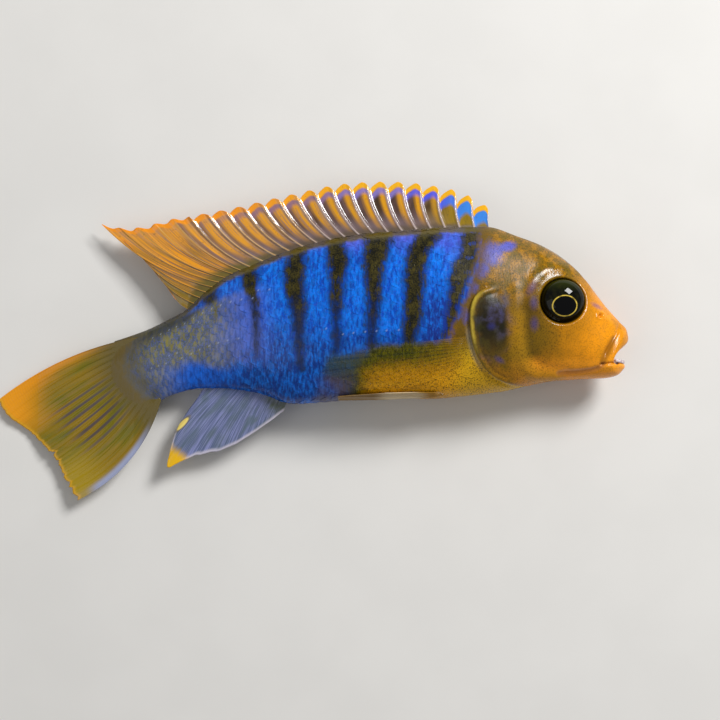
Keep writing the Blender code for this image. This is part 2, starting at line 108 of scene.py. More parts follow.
def fade(low, high, value):
    return 1.0 - soft(low, high, value)


def hump(value, middle, width):
    return np.exp(-(((value - middle) / width) ** 2))


def curveAt(values, where):
    # smooth curve through evenly spaced values, read at a fractional index
    values = np.asarray(values, float)
    where = np.clip(np.asarray(where, float), 0.0, len(values) - 1.0)
    low = np.minimum(where.astype(int), len(values) - 2)
    t = (where - low)[..., None]
    a, b = values[low], values[low + 1]
    slopeA = (b - values[np.maximum(low - 1, 0)]) / 2.0
    slopeB = (values[np.minimum(low + 2, len(values) - 1)] - a) / 2.0
    curve = a * (2 * t**3 - 3 * t**2 + 1) + slopeA * (t**3 - 2 * t**2 + t)
    return curve + b * (3 * t**2 - 2 * t**3) + slopeB * (t**3 - t**2)


def runLength(points, unit=1.0):
    # length along a line up to each of its points, in shares of the unit there
    return np.concatenate([[0.0], np.cumsum(np.linalg.norm(np.diff(points, axis=0), axis=1) / unit)])


def pathPoints(path, shares):
    # points at given shares of a smooth path's length, or at that many even steps
    if isinstance(shares, int):
        shares = np.linspace(0.0, 1.0, shares)
    fine = curveAt(path, np.linspace(0.0, len(path) - 1.0, 400))
    length = runLength(fine)
    where = shares * length[-1]
    return np.stack([np.interp(where, length, fine[:, k]) for k in range(2)], axis=-1)


def bodyPoint(ring, turn):
    # flat fish space; a turn of 0 is the back, pi the belly, 0 to pi the right side
    ring, turn = np.broadcast_arrays(np.asarray(ring, float), np.asarray(turn, float))
    row = curveAt(fishForm["rings"], ring)
    level = np.cos(turn)
    peak = np.interp(ring, *zip(*fishForm["widest"]))
    offset = (level - peak) / (1.0 - peak * level)
    fullness = np.clip(1.0 - offset**2, 0.0, 1.0)
    x = mix(row[..., 2], row[..., 0], (level + 1.0) / 2.0) - row[..., 5] * fullness
    y = mix(row[..., 3], row[..., 1], (level + 1.0) / 2.0)
    lift = np.sign(np.sin(turn)) * row[..., 4] * np.sqrt(fullness)
    return np.stack([x, y, lift], axis=-1)


def bodySlopes(ring, turn, byRing=0.02, byTurn=0.02):
    # how the body's surface runs along and around it, for each ring and each radian
    along = bodyPoint(ring + byRing, turn) - bodyPoint(ring - byRing, turn)
    around = bodyPoint(ring, turn + byTurn) - bodyPoint(ring, turn - byTurn)
    return along / (2.0 * byRing), around / (2.0 * byTurn)


def bodyNormal(ring, turn):
    normal = np.cross(*bodySlopes(ring, turn))
    return normal / np.maximum(np.linalg.norm(normal, axis=-1, keepdims=True), 1e-9)


def midHeight(x):
    return np.interp(x, fishForm["midX"], fishForm["midZ"])


def placed(points):
    # from flat fish space to the row's frame, still in mm
    points = np.asarray(points, float)
    height = midHeight(points[..., 0])
    spread = 1.0 + (fishForm["restLift"] - height) / fishForm["viewHeight"]
    x, y = (
        view + (points[..., k] - view) * spread - centre
        for k, (view, centre) in enumerate(zip(fishForm["viewAt"], fishForm["centre"]))
    )
    return np.stack([x, y, height + points[..., 2]], axis=-1)


def restOnFloor(points, over=0.0):
    # presses the left side flat on the floor, and clears the fin that lies under it
    x, y, z = np.moveaxis(points, -1, 0)
    rear, front, top = fishForm["finUnder"]
    underFin = soft(*rear, x) * fade(*front, x) * fade(*top, y)
    lowest = np.maximum(fishForm["coatRoom"], fishForm["finRoom"] * underFin)
    return np.stack([x, y, np.maximum(z, lowest - over)], axis=-1)


searchRings = np.linspace(0.5, lastRing, 260)
searchTurns = np.linspace(0.04, math.pi - 0.04, 120)
searchPoints = bodyPoint(searchRings[:, None], searchTurns[None, :])
searchTree = KDTree(searchPoints.shape[0] * searchPoints.shape[1])
for number, point in enumerate(searchPoints[..., :2].reshape(-1, 2)):
    searchTree.insert((point[0], point[1], 0.0), number)
searchTree.balance()


def flankAt(x, y):
    # ring and turn of the right side over each point x, y
    flatX, flatY = np.ravel(x), np.ravel(y)
    found = np.array([searchTree.find((a, b, 0.0))[1] for a, b in zip(flatX, flatY)])
    ring = searchRings[found // len(searchTurns)]
    turn = searchTurns[found % len(searchTurns)]
    for _ in range(5):
        here = bodyPoint(ring, turn)
        byRing = (bodyPoint(ring + 0.01, turn) - here) / 0.01
        byTurn = (bodyPoint(ring, turn + 0.01) - here) / 0.01
        missX, missY = flatX - here[:, 0], flatY - here[:, 1]
        size = byRing[:, 0] * byTurn[:, 1] - byRing[:, 1] * byTurn[:, 0]
        size = np.where(np.abs(size) < 1e-6, 1e-6, size)
        ring = ring + np.clip((missX * byTurn[:, 1] - missY * byTurn[:, 0]) / size, -0.5, 0.5)
        turn = turn + np.clip((byRing[:, 0] * missY - byRing[:, 1] * missX) / size, -0.2, 0.2)
        ring = np.clip(ring, 0.0, lastRing)
        turn = np.clip(turn, 0.02, math.pi - 0.02)
    return ring.reshape(np.shape(x)), turn.reshape(np.shape(x))


def pathField(x, y, path):
    # distance to a smooth path, positive on its left, and the share of the path at the nearest point
    points = pathPoints(path, 28)
    best = np.full(np.shape(x), 1e9)
    sign = np.ones(np.shape(x))
    share = np.zeros(np.shape(x))
    for i, ((ax, ay), (bx, by)) in enumerate(zip(points[:-1], points[1:])):
        dx, dy = bx - ax, by - ay
        t = np.clip(((x - ax) * dx + (y - ay) * dy) / (dx * dx + dy * dy), 0.0, 1.0)
        away = np.hypot(x - ax - dx * t, y - ay - dy * t)
        nearer = away < best
        best = np.where(nearer, away, best)
        sign = np.where(nearer, np.sign(dx * (y - ay) - dy * (x - ax)), sign)
        share = np.where(nearer, (i + t) / (len(points) - 1), share)
    return best * sign, share


def blob(x, y, centre, size, lean=0.0, lift=0.0):
    # 1 and the lift in the middle of an oval, falling by 1 to its edge and going on outside
    angle = math.radians(lean)
    dx, dy = x - centre[0], y - centre[1]
    a = (dx * math.cos(angle) + dy * math.sin(angle)) / size[0]
    b = (dy * math.cos(angle) - dx * math.sin(angle)) / size[1]
    return 1.0 - np.hypot(a, b) + lift


def shownPiece(name, mesh, material, smooth=True):
    mesh.materials.append(material)
    mesh.polygons.foreach_set("use_smooth", [smooth] * len(mesh.polygons))
    piece = bpy.data.objects.new(name, mesh)
    bpy.context.scene.collection.objects.link(piece)
    return piece


def makePiece(name, points, faces, material):
    mesh = bpy.data.meshes.new(name)
    mesh.from_pydata((np.asarray(points).reshape(-1, 3) * mm).tolist(), [], faces)
    mesh.update()
    return shownPiece(name, mesh, material)


def giveField(piece, name, values):
    held = piece.data.attributes.new(name, "FLOAT", "POINT")
    held.data.foreach_set("value", np.asarray(values, np.float32).ravel())


def giveMap(piece, name, corners):
    made = piece.data.uv_layers.new(name=name)
    made.data.foreach_set("uv", np.asarray(corners, np.float32).ravel())


def cornerIndex(piece):
    index = np.empty(len(piece.data.loops), np.int32)
    piece.data.loops.foreach_get("vertex_index", index)
    return index


def gridFaces(rows, columns):
    # the four-sided faces of a grid of points, and its border in order
    number = np.arange(rows * columns).reshape(rows, columns)
    quads = np.stack([number[:-1, :-1], number[:-1, 1:], number[1:, 1:], number[1:, :-1]], axis=-1)
    rim = np.concatenate([number[0, :-1], number[:-1, -1], number[-1, :0:-1], number[:0:-1, 0]])
    return quads.reshape(-1, 4), rim


def rgb(red, green, blue):
    # a colour as the eye sees it, 0 to 255, in Blender's own values
    seen = np.array([red, green, blue]) / 255.0
    value = np.where(seen <= 0.04045, seen / 12.92, ((seen + 0.055) / 1.055) ** 2.4)
    return (*[float(v) for v in value], 1.0)


class Paint:
    # One material, its nodes added by short calls. A name stands for a field of the mesh or, at a
    # colour socket, for one of the given colours, and three numbers there are a colour.
    def __init__(self, name, colours=None, **sockets):
        self.material = bpy.data.materials.new(name)
        self.material.use_nodes = True
        self.tree = self.material.node_tree
        self.shader = self.tree.nodes["Principled BSDF"]
        self.colours = colours
        for key, value in sockets.items():
            self.shader.inputs[key.replace("_", " ")].default_value = value

    def feed(self, socket, value):
        isColour = socket.type == "RGBA"
        if isinstance(value, str) and isColour:
            value = self.colours[value]
        elif isinstance(value, str):
            value = self.add("Attribute", attribute_name=value).outputs["Fac"]
        if isinstance(value, bpy.types.NodeSocket):
            self.tree.links.new(value, socket)
        else:
            socket.default_value = rgb(*value) if isColour else value

    def add(self, kind, inputs=(), **settings):
        made = self.tree.nodes.new("ShaderNode" + kind)
        for key, value in settings.items():
            setattr(made, key, value)
        for key, value in dict(inputs).items():
            self.feed(made.inputs[key], value)
        return made

    def reckon(self, operation, *values):
        return self.add("Math", enumerate(values), operation=operation).outputs[0]

    def warp(self, value, *pairs):
        # value with so much of each noise or field added
        for noise, amount in zip(pairs[::2], pairs[1::2]):
            value = self.reckon("MULTIPLY_ADD", noise, amount, value)
        return value

    def step(self, value, low, high, start=0, end=1):
        given = enumerate((value, low, high, start, end))
        return self.add("MapRange", given, interpolation_type="SMOOTHSTEP").outputs[0]

    def share(self, *parts):
        # product of its parts, where one in brackets is a step
        product, *rest = (self.step(*part) if isinstance(part, tuple) else part for part in parts)
        for part in rest:
            product = self.reckon("MULTIPLY", product, part)
        return product

    def blend(self, share, first, second, way="MIX"):
        given = {0: share, 6: first, 7: second}
        return self.add("Mix", given, data_type="RGBA", blend_type=way).outputs[2]

    def coats(self, colour, *rows):
        # rows of a further colour and the parts of its share
        for over, *parts in rows:
            colour = self.blend(self.share(*parts), colour, over)
        return colour

    def noise(self, stretch, detail=2, rough=0.5, mapName=None):
        # stretch is in cells to a metre, or in cells to a unit of the named map
        if mapName:
            source = self.add("UVMap", uv_map=mapName).outputs[0]
        else:
            source = self.add("TexCoord").outputs["Object"]
        where = self.add("Mapping", {"Vector": source, "Scale": stretch}).outputs[0]
        given = {"Vector": where, "Scale": 1, "Detail": detail, "Roughness": rough}
        return self.add("TexNoise", given).outputs[0]

    def finish(self, colour, rough=None, height=None, strength=0.3, reach=0.0001):
        self.feed(self.shader.inputs["Base Color"], colour)
        if rough is not None:
            self.feed(self.shader.inputs["Roughness"], self.share(rough))
        if height is not None:
            bump = self.add("Bump", {"Height": height, "Strength": strength, "Distance": reach})
            self.feed(self.shader.inputs["Normal"], bump.outputs[0])
        return self.material


# Relief of the skin, in mm
headLines = {
    "gillEdge": (
        (29.6, 8.7), (27.6, 8.1), (26.3, 6.8), (25.75, 5.0), (25.7, 3.0), (25.9, 0.8),
        (26.4, -1.2), (27.2, -3.2), (28.6, -5.2), (30.8, -6.7), (33.6, -7.6), (37.0, -7.6),
    ),
    "plateEdge": (
        (30.4, 7.8), (28.4, 7.2), (27.3, 6.0), (26.85, 4.0), (26.9, 1.8), (27.3, -0.6),
        (28.1, -2.9), (29.6, -4.9), (31.6, -6.2),
    ),
    "ridge": ((33.2, 8.6), (33.3, 5.4), (33.4, 2.0), (33.7, -1.0), (34.4, -3.8), (36.4, -5.9), (40.0, -6.6)),
    "ridgeTrough": ((34.9, 7.4), (34.9, 4.0), (35.0, 0.8), (35.7, -2.0), (37.6, -4.2), (41.8, -5.0)),
    "upperLip": ((51.0, 3.1), (50.4, 1.5), (49.8, 0.3), (48.9, -1.3), (47.9, -3.0)),
    "lipTrough": ((49.6, 0.1), (48.7, -1.5), (47.8, -3.5)),
    "corner": ((50.4, -3.8), (49.0, -3.9), (47.6, -4.1)),
    "jawFold": ((47.8, -4.1), (46.4, -4.9), (43.6, -5.3), (40.6, -5.6)),
}
headRelief = {
    # height and width of the relief along a line
    "creases": {
        "plateEdge": (-0.12, 0.22),
        "ridge": (0.18, 0.85),
        "ridgeTrough": (-0.16, 0.8),
        "corner": (-0.4, 0.24),
        "jawFold": (-0.22, 0.4),
    },
    # centre, half sizes and height of the cheek's low mounds
    "mounds": (((45.2, -2.2), (1.9, 1.6), 0.14), ((38.6, -1.2), (3.0, 2.8), 0.22)),
    "gillStep": 0.42,
    "nostril": (47.5, 4.0),
}
eyeForm = {
    "at": (41.1, 6.45),
    "radius": 3.66,
    "flattened": 0.965,  # its height in shares of its length
    "halfDepth": 2.25,
    "segments": (96, 48),
    "sink": 1.2,
    "turn": 8.0,
    "goldRing": ((-0.05, -0.86), (2.06, 1.7)),  # centre and half sizes, off the eye's own centre
}


def eyeReach(x, y):
    return np.hypot(x - eyeForm["at"][0], y - eyeForm["at"][1])


def skinRelief(points):
    x, y = points[..., 0], points[..., 1]
    beside = soft(0.5, 1.6, np.abs(points[..., 2]))
    near = {name: pathField(x, y, path) for name, path in headLines.items()}
    gill = near["gillEdge"][0]
    faded = (1.0 - soft(27.4, 30.4, x) * soft(4.6, 7.8, y)) * fade(31.0, 36.8, x)
    relief = headRelief["gillStep"] * soft(-0.16, 0.16, gill) * fade(28.5, 36.5, x) * faded
    relief += (0.1 * hump(gill, 0.45, 0.35) - 0.16 * hump(gill, -0.3, 0.28)) * faded
    for name, (height, width) in headRelief["creases"].items():
        relief += height * hump(near[name][0], 0.0, width)
    for (middleX, middleY), (wide, high), height in headRelief["mounds"]:
        relief += height * hump(np.hypot((x - middleX) / wide, (y - middleY) / high), 0.0, 1.0)
    trough, share = near["lipTrough"]
    relief -= 0.34 * hump(trough, 0.1, 0.75) * hump(share, 0.5, 0.42)
    # socket and rim of the eye, the rim heavier and rippled above
    reach, radius = eyeReach(x, y), eyeForm["radius"]
    above = soft(-0.35, 0.5, (y - eyeForm["at"][1] - 0.35 * (x - eyeForm["at"][0])) / radius)
    rim = hump(reach, radius + mix(0.6, 2.1, above), mix(0.85, 0.95, above))
    ripple = np.sin(2.9 * x + 1.7 * y) * np.sin(2.3 * y - 1.1 * x) * hump(reach, radius + 1.8, 1.2)
    relief += (0.03 + 0.19 * above) * rim + 0.02 * ripple * above
    relief -= (eyeForm["sink"] + 0.15) * fade(radius - 0.05, radius + 0.3, reach)
    # nostril in a low raised ring
    hole = np.hypot(x - headRelief["nostril"][0], y - headRelief["nostril"][1])
    relief += 0.12 * hump(hole, 0.55, 0.25) - 0.55 * hump(hole, 0.0, 0.3)
    # the upper lip runs right round the snout
    lip, share = near["upperLip"]
    lipRelief = 0.16 * hump(lip, 1.1, 0.7) * soft(-0.1, 0.15, share)
    lipRelief -= 0.24 * hump(lip, 0.0, 0.22) * soft(0.0, 0.14, share) * fade(0.85, 1.0, share)
    return relief * beside + lipRelief


def skinPoint(ring, turn, over=0.0):
    # a point of the finished skin in flat fish space, raised by over
    points = bodyPoint(ring, turn)
    return points + bodyNormal(ring, turn) * (skinRelief(points) + over)[..., None]


# Where each colour lies, as fields in mm: above 0 inside, below 0 outside
barForm = {
    # dark bars: y, middle x and half width down each bar
    "bars": (
        ((18.5, 26.4, 1.4), (15.0, 25.8, 1.4), (13.3, 25.3, 1.7), (10.0, 23.9, 1.5), (6.7, 23.2, 1.0),
         (3.3, 22.6, 0.7), (0.6, 21.6, 0.4)),
        ((18.3, 19.4, 1.6), (16.7, 18.7, 1.8), (15.0, 17.4, 1.7), (11.7, 16.7, 1.5), (5.0, 16.4, 1.4),
         (3.3, 16.2, 1.3), (-0.6, 15.6, 0.9)),
        ((17.5, 10.8, 2.2), (15.0, 10.5, 1.9), (13.3, 10.0, 1.8), (11.7, 9.9, 1.5), (8.3, 9.9, 1.2),
         (6.7, 10.0, 1.0), (3.3, 9.7, 0.7), (-0.9, 9.5, 0.6)),
        ((15.8, 3.5, 1.4), (13.3, 4.1, 1.6), (11.7, 3.9, 1.4), (10.0, 3.8, 1.0), (6.7, 3.8, 0.8),
         (3.3, 3.8, 0.5), (0.0, 4.0, 0.4), (-2.0, 3.6, 0.3)),
        ((14.2, -2.7, 1.3), (11.7, -3.2, 1.6), (8.3, -3.2, 1.5), (6.7, -2.8, 1.3), (5.0, -2.5, 1.2),
         (3.3, -2.4, 0.9), (0.0, -2.4, 0.6), (-5.0, -2.1, 0.3)),
        ((12.5, -10.8, 1.2), (10.0, -10.6, 1.3), (8.3, -10.4, 1.1), (6.7, -9.9, 0.9), (5.0, -9.7, 0.8),
         (3.3, -9.4, 0.7), (0.0, -9.5, 0.5), (-3.0, -9.4, 0.1)),
        ((9.6, -17.4, 1.2), (8.0, -17.3, 1.0), (6.7, -17.2, 1.1), (5.0, -16.6, 0.7), (3.0, -16.2, 0.2)),
    ),
    "taper": 1.2,  # half width lost for each mm below a bar's last level
}
# lines that divide the colours, each a field of its own name
colourLines = {
    "belly": (
        (28.0, 1.6), (24.4, 0.7), (21.0, -0.2), (14.3, -0.6), (9.3, -1.2), (6.3, -2.6), (5.0, -4.3),
        (4.9, -6.6), (4.6, -9.0), (4.2, -12.0),
    ),
    "front": ((27.8, 19.5), (26.4, 12.0), (24.4, 5.4), (22.9, 2.4), (21.8, -2.0)),
    "gill": headLines["gillEdge"],
    "plate": headLines["plateEdge"],
    "ridge": headLines["ridge"],
}
# patches of the head: centre, half sizes, lean and lift of each oval
colourPatches = {
    "blotch": (((29.7, 2.2), (3.7, 6.6), -7.0), ((28.8, 4.0), (2.6, 3.6), -10.0, 0.3)),
    "nape": (
        ((29.3, 14.2), (2.6, 2.5), 30.0),
        ((32.0, 15.4), (1.8, 1.1), 20.0),
        ((27.6, 11.6), (1.6, 2.0), -20.0),
        ((26.2, 16.6), (1.4, 1.6)),
        ((26.0, 8.6), (1.3, 1.3)),
        ((24.9, 3.9), (0.8, 1.5)),
    ),
    "spots": (
        ((36.2, 6.1), (0.9, 1.5)),
        ((36.3, 2.6), (0.9, 1.5)),
        ((46.9, 5.6), (1.5, 0.55), -25.0),
        ((35.9, 8.6), (0.9, 1.9), -30.0),
        ((30.6, -3.3), (0.6, 1.2), 60.0),
        ((29.2, 2.2), (0.9, 0.8)),
    ),
    "cheek": (((38.4, -0.4), (4.2, 3.8)),),
    "temple": (((35.1, 4.8), (2.7, 4.8)),),
}


def inBars(x, y):
    inside = []
    for bar in barForm["bars"]:
        level, middle, half = np.array(bar)[::-1].T
        width = np.interp(y, level, half) - barForm["taper"] * np.clip(level[0] - y, 0.0, None)
        inside.append(width - np.abs(x - np.interp(y, level, middle)))
    return np.maximum.reduce(inside)


def skinFields(x, y, ring):
    fields = {name: pathField(x, y, path)[0] for name, path in colourLines.items()}
    for name, ovals in colourPatches.items():
        fields[name] = np.maximum.reduce([blob(x, y, *oval) for oval in ovals])
    return {
        **fields,
        "dark": inBars(x, y),
        "eye": eyeReach(x, y),
        "snout": x - 0.35 * y,
        "mouth": 2.6 - ring,
        "sheath": ring - fishForm["stemEnd"],
        "top": curveAt(fishForm["rings"], ring)[..., 1] - y,
        "lip": np.abs(pathField(x, y, headLines["lipTrough"])[0]),
        "jaw": np.abs(pathField(x, y, headLines["jawFold"])[0]),
        "length": x,
        "height": y,
    }


def dressWithFields(piece, points, ring):
    x, y, _ = points.reshape(-1, 3).T
    for name, values in skinFields(x, y, np.ravel(ring)).items():
        giveField(piece, name, values)


# Colours of skin and scales
skinColours = {
    "blueDeep": (0, 74, 190),
    "blueBright": (8, 122, 240),
    "blueDark": (8, 34, 84),
    "lavender": (88, 92, 208),
    "lilacBlue": (84, 106, 210),
    "shoulderBlue": (22, 46, 130),
    "barDark": (20, 20, 12),
    "barOlive": (72, 64, 20),
    "backOlive": (86, 74, 16),
    "stemBack": (56, 56, 38),
    "stemGrey": (88, 98, 100),
    "stemFleck": (140, 130, 22),
    "stemLilac": (92, 102, 152),
    "stemBlue": (0, 102, 226),
    "stemNavy": (12, 76, 176),
    "tailGrey": (96, 90, 66),
    "sheathOlive": (106, 88, 14),
    "bellyYellow": (226, 160, 12),
    "bellyOlive": (112, 104, 8),
    "bellyMoss": (36, 46, 8),
    "bellyEdgeShade": (124, 92, 40),
    "bellyGrey": (90, 76, 72),
    "bellyTeal": (58, 78, 70),
    "breastYellow": (214, 170, 18),
    "pepper": (40, 30, 4),
    "napeYellow": (160, 112, 8),
    "napeBrown": (96, 72, 10),
    "napeOlive": (92, 78, 10),
    "napeLilac": (82, 90, 192),
    "faceOlive": (112, 84, 8),
    "faceGold": (184, 120, 10),
    "snoutGold": (232, 146, 16),
    "templeBrown": (92, 68, 14),
    "ridgeGold": (172, 126, 20),
    "blotchDark": (14, 17, 4),
    "blotchGreen": (46, 46, 5),
    "blotchBlue": (52, 54, 136),
    "lipTroughShade": (150, 94, 16),
    "jawFoldShade": (160, 100, 56),
    "jawGoldPaintedLight": (248, 158, 30),
    "mouthPale": (190, 168, 164),
    "rimYellow": (204, 178, 60),
    "rimPale": (168, 160, 138),
    "scaleLight": (235, 235, 240),
    "scaleShade": (20, 20, 10),
    "poreGlintPale": (180, 196, 236),
}


def awayFromBack(paint):
    # whole below a slanting line under the back, and nearly gone above it
    return paint.step(paint.warp("height", "length", -0.41), 12.3, 13.7, 1, 0.15)


def paintBars(paint, streak, speck, mottle, cloud):
    # blue between the dark bars, each bar with a dark blue border broken into streaks
    inBar = paint.warp("dark", mottle, 1.5, streak, 2.6)
    low = paint.warp("height", mottle, 9)
    blue = paint.coats(
        "blueDeep",
        ("blueBright", (streak, 0.34, 0.62)),
        ("lavender", (paint.warp("height", cloud, 6), 16, 21, 0, 0.75)),
        ("lavender", (speck, 0.52, 0.66, 0, 0.22)),
        # darker blue over the lower flank: painted shade
        ("blueDark", (low, 2, 8, 0.55, 0.08), (streak, 0.4, 0.66, 1, 0.35)),
        ("blueDark", "scaleDash", 0.36),
        ("blueDark", (inBar, 1.1, 2.3, 0, 0.8)),
        ("lilacBlue", ("length", -11, -5, 0.75, 0), ("height", 7, 11, 1, 0), (low, -1, 4),
         awayFromBack(paint), (streak, 0.34, 0.6, 0.3, 1)),
        ("shoulderBlue", ("length", 17, 19.5), (low, 9, 14, 0.85, 0), (streak, 0.44, 0.62, 1, 0.3)),
    )
    flecked = paint.warp(paint.share(streak, 0.3), mottle, 0.4, speck, 0.5)
    dark = paint.coats(
        "barDark",
        ("barOlive", (flecked, 0.5, 0.76, 0, 0.9)),
        ("blueDark", (low, 7, 13, 0.7, 0), ("length", 12, 14, 1, 0)),
    )
    edge = paint.warp("top", mottle, 0.7)
    return paint.coats(blue, (dark, (inBar, 1.6, 2.9)), ("backOlive", (edge, 1.05, 1.7, 0.9, 0)))


def paintStem(paint, colour, streak, speck, mottle, cloud):
    # tail stem: greyer, with olive flecks, and blue again along its belly
    low = paint.warp("height", cloud, 4)
    sheath = paint.warp("sheath", mottle, 1.6, streak, 1.6)
    stem = paint.coats(
        "stemGrey",
        ("stemLilac", (speck, 0.42, 0.62)),
        ("stemFleck", (paint.warp(streak, mottle, 0.4), 0.66, 0.86, 0, 0.7)),
        ("stemFleck", "scaleDash", (mottle, 0.32, 0.5), 0.75),
        (paint.coats("stemNavy", ("stemBlue", (streak, 0.36, 0.6))),
         (low, -3.6, -1.2, 0.95, 0), ("length", -27, -20, 0.12, 1)),
        ("stemBack", (paint.warp("top", mottle, 0.7), 1.8, 4, 0.85, 0)),
        ("tailGrey", (sheath, 0.2, 1.9, 0, 0.9)),
        ("sheathOlive", (sheath, 1.5, 2.6)),
    )
    back = paint.warp("length", mottle, 3.3, streak, 5.72)
    return paint.coats(colour, (stem, (back, -14.5, -4.5, 0.96, 0), awayFromBack(paint)))


def paintBelly(paint, colour, streak, speck, mottle, cloud):
    # belly: olive above, yellow below, peppered with fine black dots, grey and blue behind
    belly = paint.coats(
        "bellyOlive",
        ("bellyMoss", (streak, 0.44, 0.56, 0, 0.7)),
        ("bellyMoss", (mottle, 0.53, 0.66, 0, 0.55)),
        ("bellyYellow", (paint.warp("belly", mottle, 2), 2.8, 6.6)),
        ("breastYellow", ("length", 21, 26, 0, 0.7)),
        ("pepper", (speck, 0.53, 0.6), 0.7),
        # darker along the belly's lowest edge: painted shade
        ("bellyEdgeShade", ("height", -10.4, -9, 0.5, 0)),
    )
    rear = paint.step("length", 6, 11, 1, 0)
    inside = paint.warp("belly", mottle, 1.6, streak, 1.6, rear, paint.warp(-2.9, cloud, 7))
    behind = paint.coats("bellyGrey", ("bellyTeal", ("height", -7, -4)))
    return paint.coats(
        colour,
        (behind, (inside, -2.2, 1.2, 0, 0.8), ("height", -3.4, -1.6, 1, 0)),
        (belly, (inside, 1, paint.warp(2.4, rear, 4.2))),
    )


def paintHead(paint, colour, streak, speck, mottle, cloud):
    # head: bright on the snout, darker towards the gill cover, an olive net on the crown
    snout = paint.warp("snout", cloud, 3)
    crown = paint.warp("height", cloud, 4, "snout", -0.3)
    vein = paint.reckon("ABSOLUTE", paint.warp(-0.5, mottle, 1))
    ridge = paint.reckon("ABSOLUTE", "ridge")
    front = paint.warp("front", streak, 1.2, mottle, 2.2)
    blotch = paint.coats(
        "blotchDark",
        ("blotchGreen", (mottle, 0.4, 0.64)),
        ("templeBrown", ("height", -4, 2, 0.75, 0)),
        ("blotchBlue", (cloud, 0.44, 0.66, 0, 0.45), (mottle, 0.34, 0.7)),
    )
    head = paint.coats(
        "faceOlive",
        ("faceGold", (snout, 37, 43)),
        ("snoutGold", (snout, 42.5, 48)),
        ("faceGold", (paint.warp(cloud, mottle, 0.4), 0.7, 0.88, 0, 0.5)),
        ("templeBrown", (paint.warp("temple", mottle, 0.8), 0.25, 0.95, 0, 0.8)),
        ("faceOlive", (paint.warp("cheek", mottle, 0.7), 0.4, 1.1, 0, 0.55)),
        # gold lower head and jaw, its colour lightened as painted light where the underside falls in shade
        ("jawGoldPaintedLight", (paint.warp("height", cloud, 2), -3.4, -1.4, 0.9, 0), ("length", 31, 37)),
        ("napeYellow", (crown, -3.5, 2.5)),
        ("napeBrown", (vein, 0, 0.12, 0.5, 0), (crown, 0, 3.5, 0.08, 1)),
        ("napeBrown", (speck, 0.46, 0.64), (crown, -1, 3.5, 0.12, 0.4)),
        ("napeOlive", (paint.warp(mottle, speck, 0.35), 0.62, 0.78), (crown, -2, 2.5, 0.1, 0.75)),
        (blotch, (paint.warp("blotch", mottle, 0.5), 0.16, 0.74, 0, 0.96)),
        ("ridgeGold", (ridge, 0.4, 2.3, 0.62, 0), ("height", 3.6, 6.4, 1, 0.15)),
        ("napeLilac", (paint.warp("nape", speck, 0.9, mottle, 0.7), 0.7, 1.45, 0, 0.9)),
        ("blotchBlue", (paint.warp("spots", speck, 0.8), 0.2, 1.4, 0, 0.5)),
        ("pepper", (speck, 0.53, 0.6), (snout, 40, 45, 0.45, 0.14)),
        # brown in the lip trough and along the jaw fold: painted shade in the creases
        ("lipTroughShade", ("lip", 0.2, 0.85, 0.8, 0)),
        ("jawFoldShade", ("jaw", 0.1, 0.7, 0.6, 0)),
        ("napeBrown", (front, 1.8, 5.4, 0.8, 0)),
    )
    behindGill = paint.step("gill", -0.1, 0.1)
    overGill = paint.share((front, 0.9, 2.6), ("height", -3, 0.5))
    colour = paint.coats(colour, (head, paint.reckon("MAXIMUM", overGill, behindGill)))
    # rim of the gill cover, the pale strip behind it, the wall of the eye socket, inside of the mouth
    nearGill = paint.share(("height", 6.8, 8.6, 1, 0), ("length", 30.5, 33.5, 1, 0))
    radius = eyeForm["radius"]
    return paint.coats(
        colour,
        ("rimYellow", behindGill, (paint.warp("plate", mottle, 0.9), -0.7, 0.15, 0.85, 0),
         ("height", -4.5, 1, 0.12, 1), nearGill),
        ("rimPale", ("gill", -1.1, -0.3), ("gill", -0.2, 0.05, 1, 0), ("height", 0.5, 3, 0.5, 0),
         ("height", -6, -3), nearGill),
        ("blotchDark", ("eye", radius + 0.02, radius + 0.3, 0.92, 0)),
        ("mouthPale", ("mouth", -0.4, 0.4)),
    )


def paintSkin():
    paint = Paint("wetSkin", skinColours, Roughness=0.28, Specular_IOR_Level=0.32)
    streak = paint.noise((2500, 640, 900), 3, 0.6)
    speck = paint.noise((5200, 3800, 4200), 2, 0.55)
    mottle = paint.noise((760, 620, 700))
    cloud = paint.noise((210, 190, 200), 1)
    noises = (streak, speck, mottle, cloud)
    colour = paintBars(paint, *noises)
    for layer in (paintStem, paintBelly, paintHead):
        colour = layer(paint, colour, *noises)
    # each scale a little lighter or darker than the next; the skin itself has neither
    tint = paint.warp(0.5, "scaleTint", 0.5)
    colour = paint.blend(paint.step(tint, 0.5, 1, 0, 0.12), colour, "scaleLight", "SOFT_LIGHT")
    colour = paint.blend(paint.step(tint, 0, 0.5, 0.16, 0), colour, "scaleShade", "MULTIPLY")
    # pale dots on the pored scales of the lateral line: partly the pores, partly painted glints of the wet
    # scales
    colour = paint.coats(colour, ("poreGlintPale", ("poreGlint", 0.3, 0.9, 0, 0.34)))
    dry = paint.share(("length", 20, 27), ("snout", 30.5, 33.5, 0.24, 0))
    rough = paint.reckon("ADD", paint.step(mottle, 0.3, 0.7, 0.12, 0.22), dry)
    return paint.finish(colour, rough, paint.warp(streak, speck, 0.6), 0.5, 0.00006)


skinForm = {
    "headRings": 190,
    "bodyRings": 160,
    "headEnd": 14.8,
    "around": 280,
    "mapEdge": (0.03, 0.01),  # left free at both sides of the map, along and around
    "mapStrip": 0.01,  # half the breadth there of each closed end
}


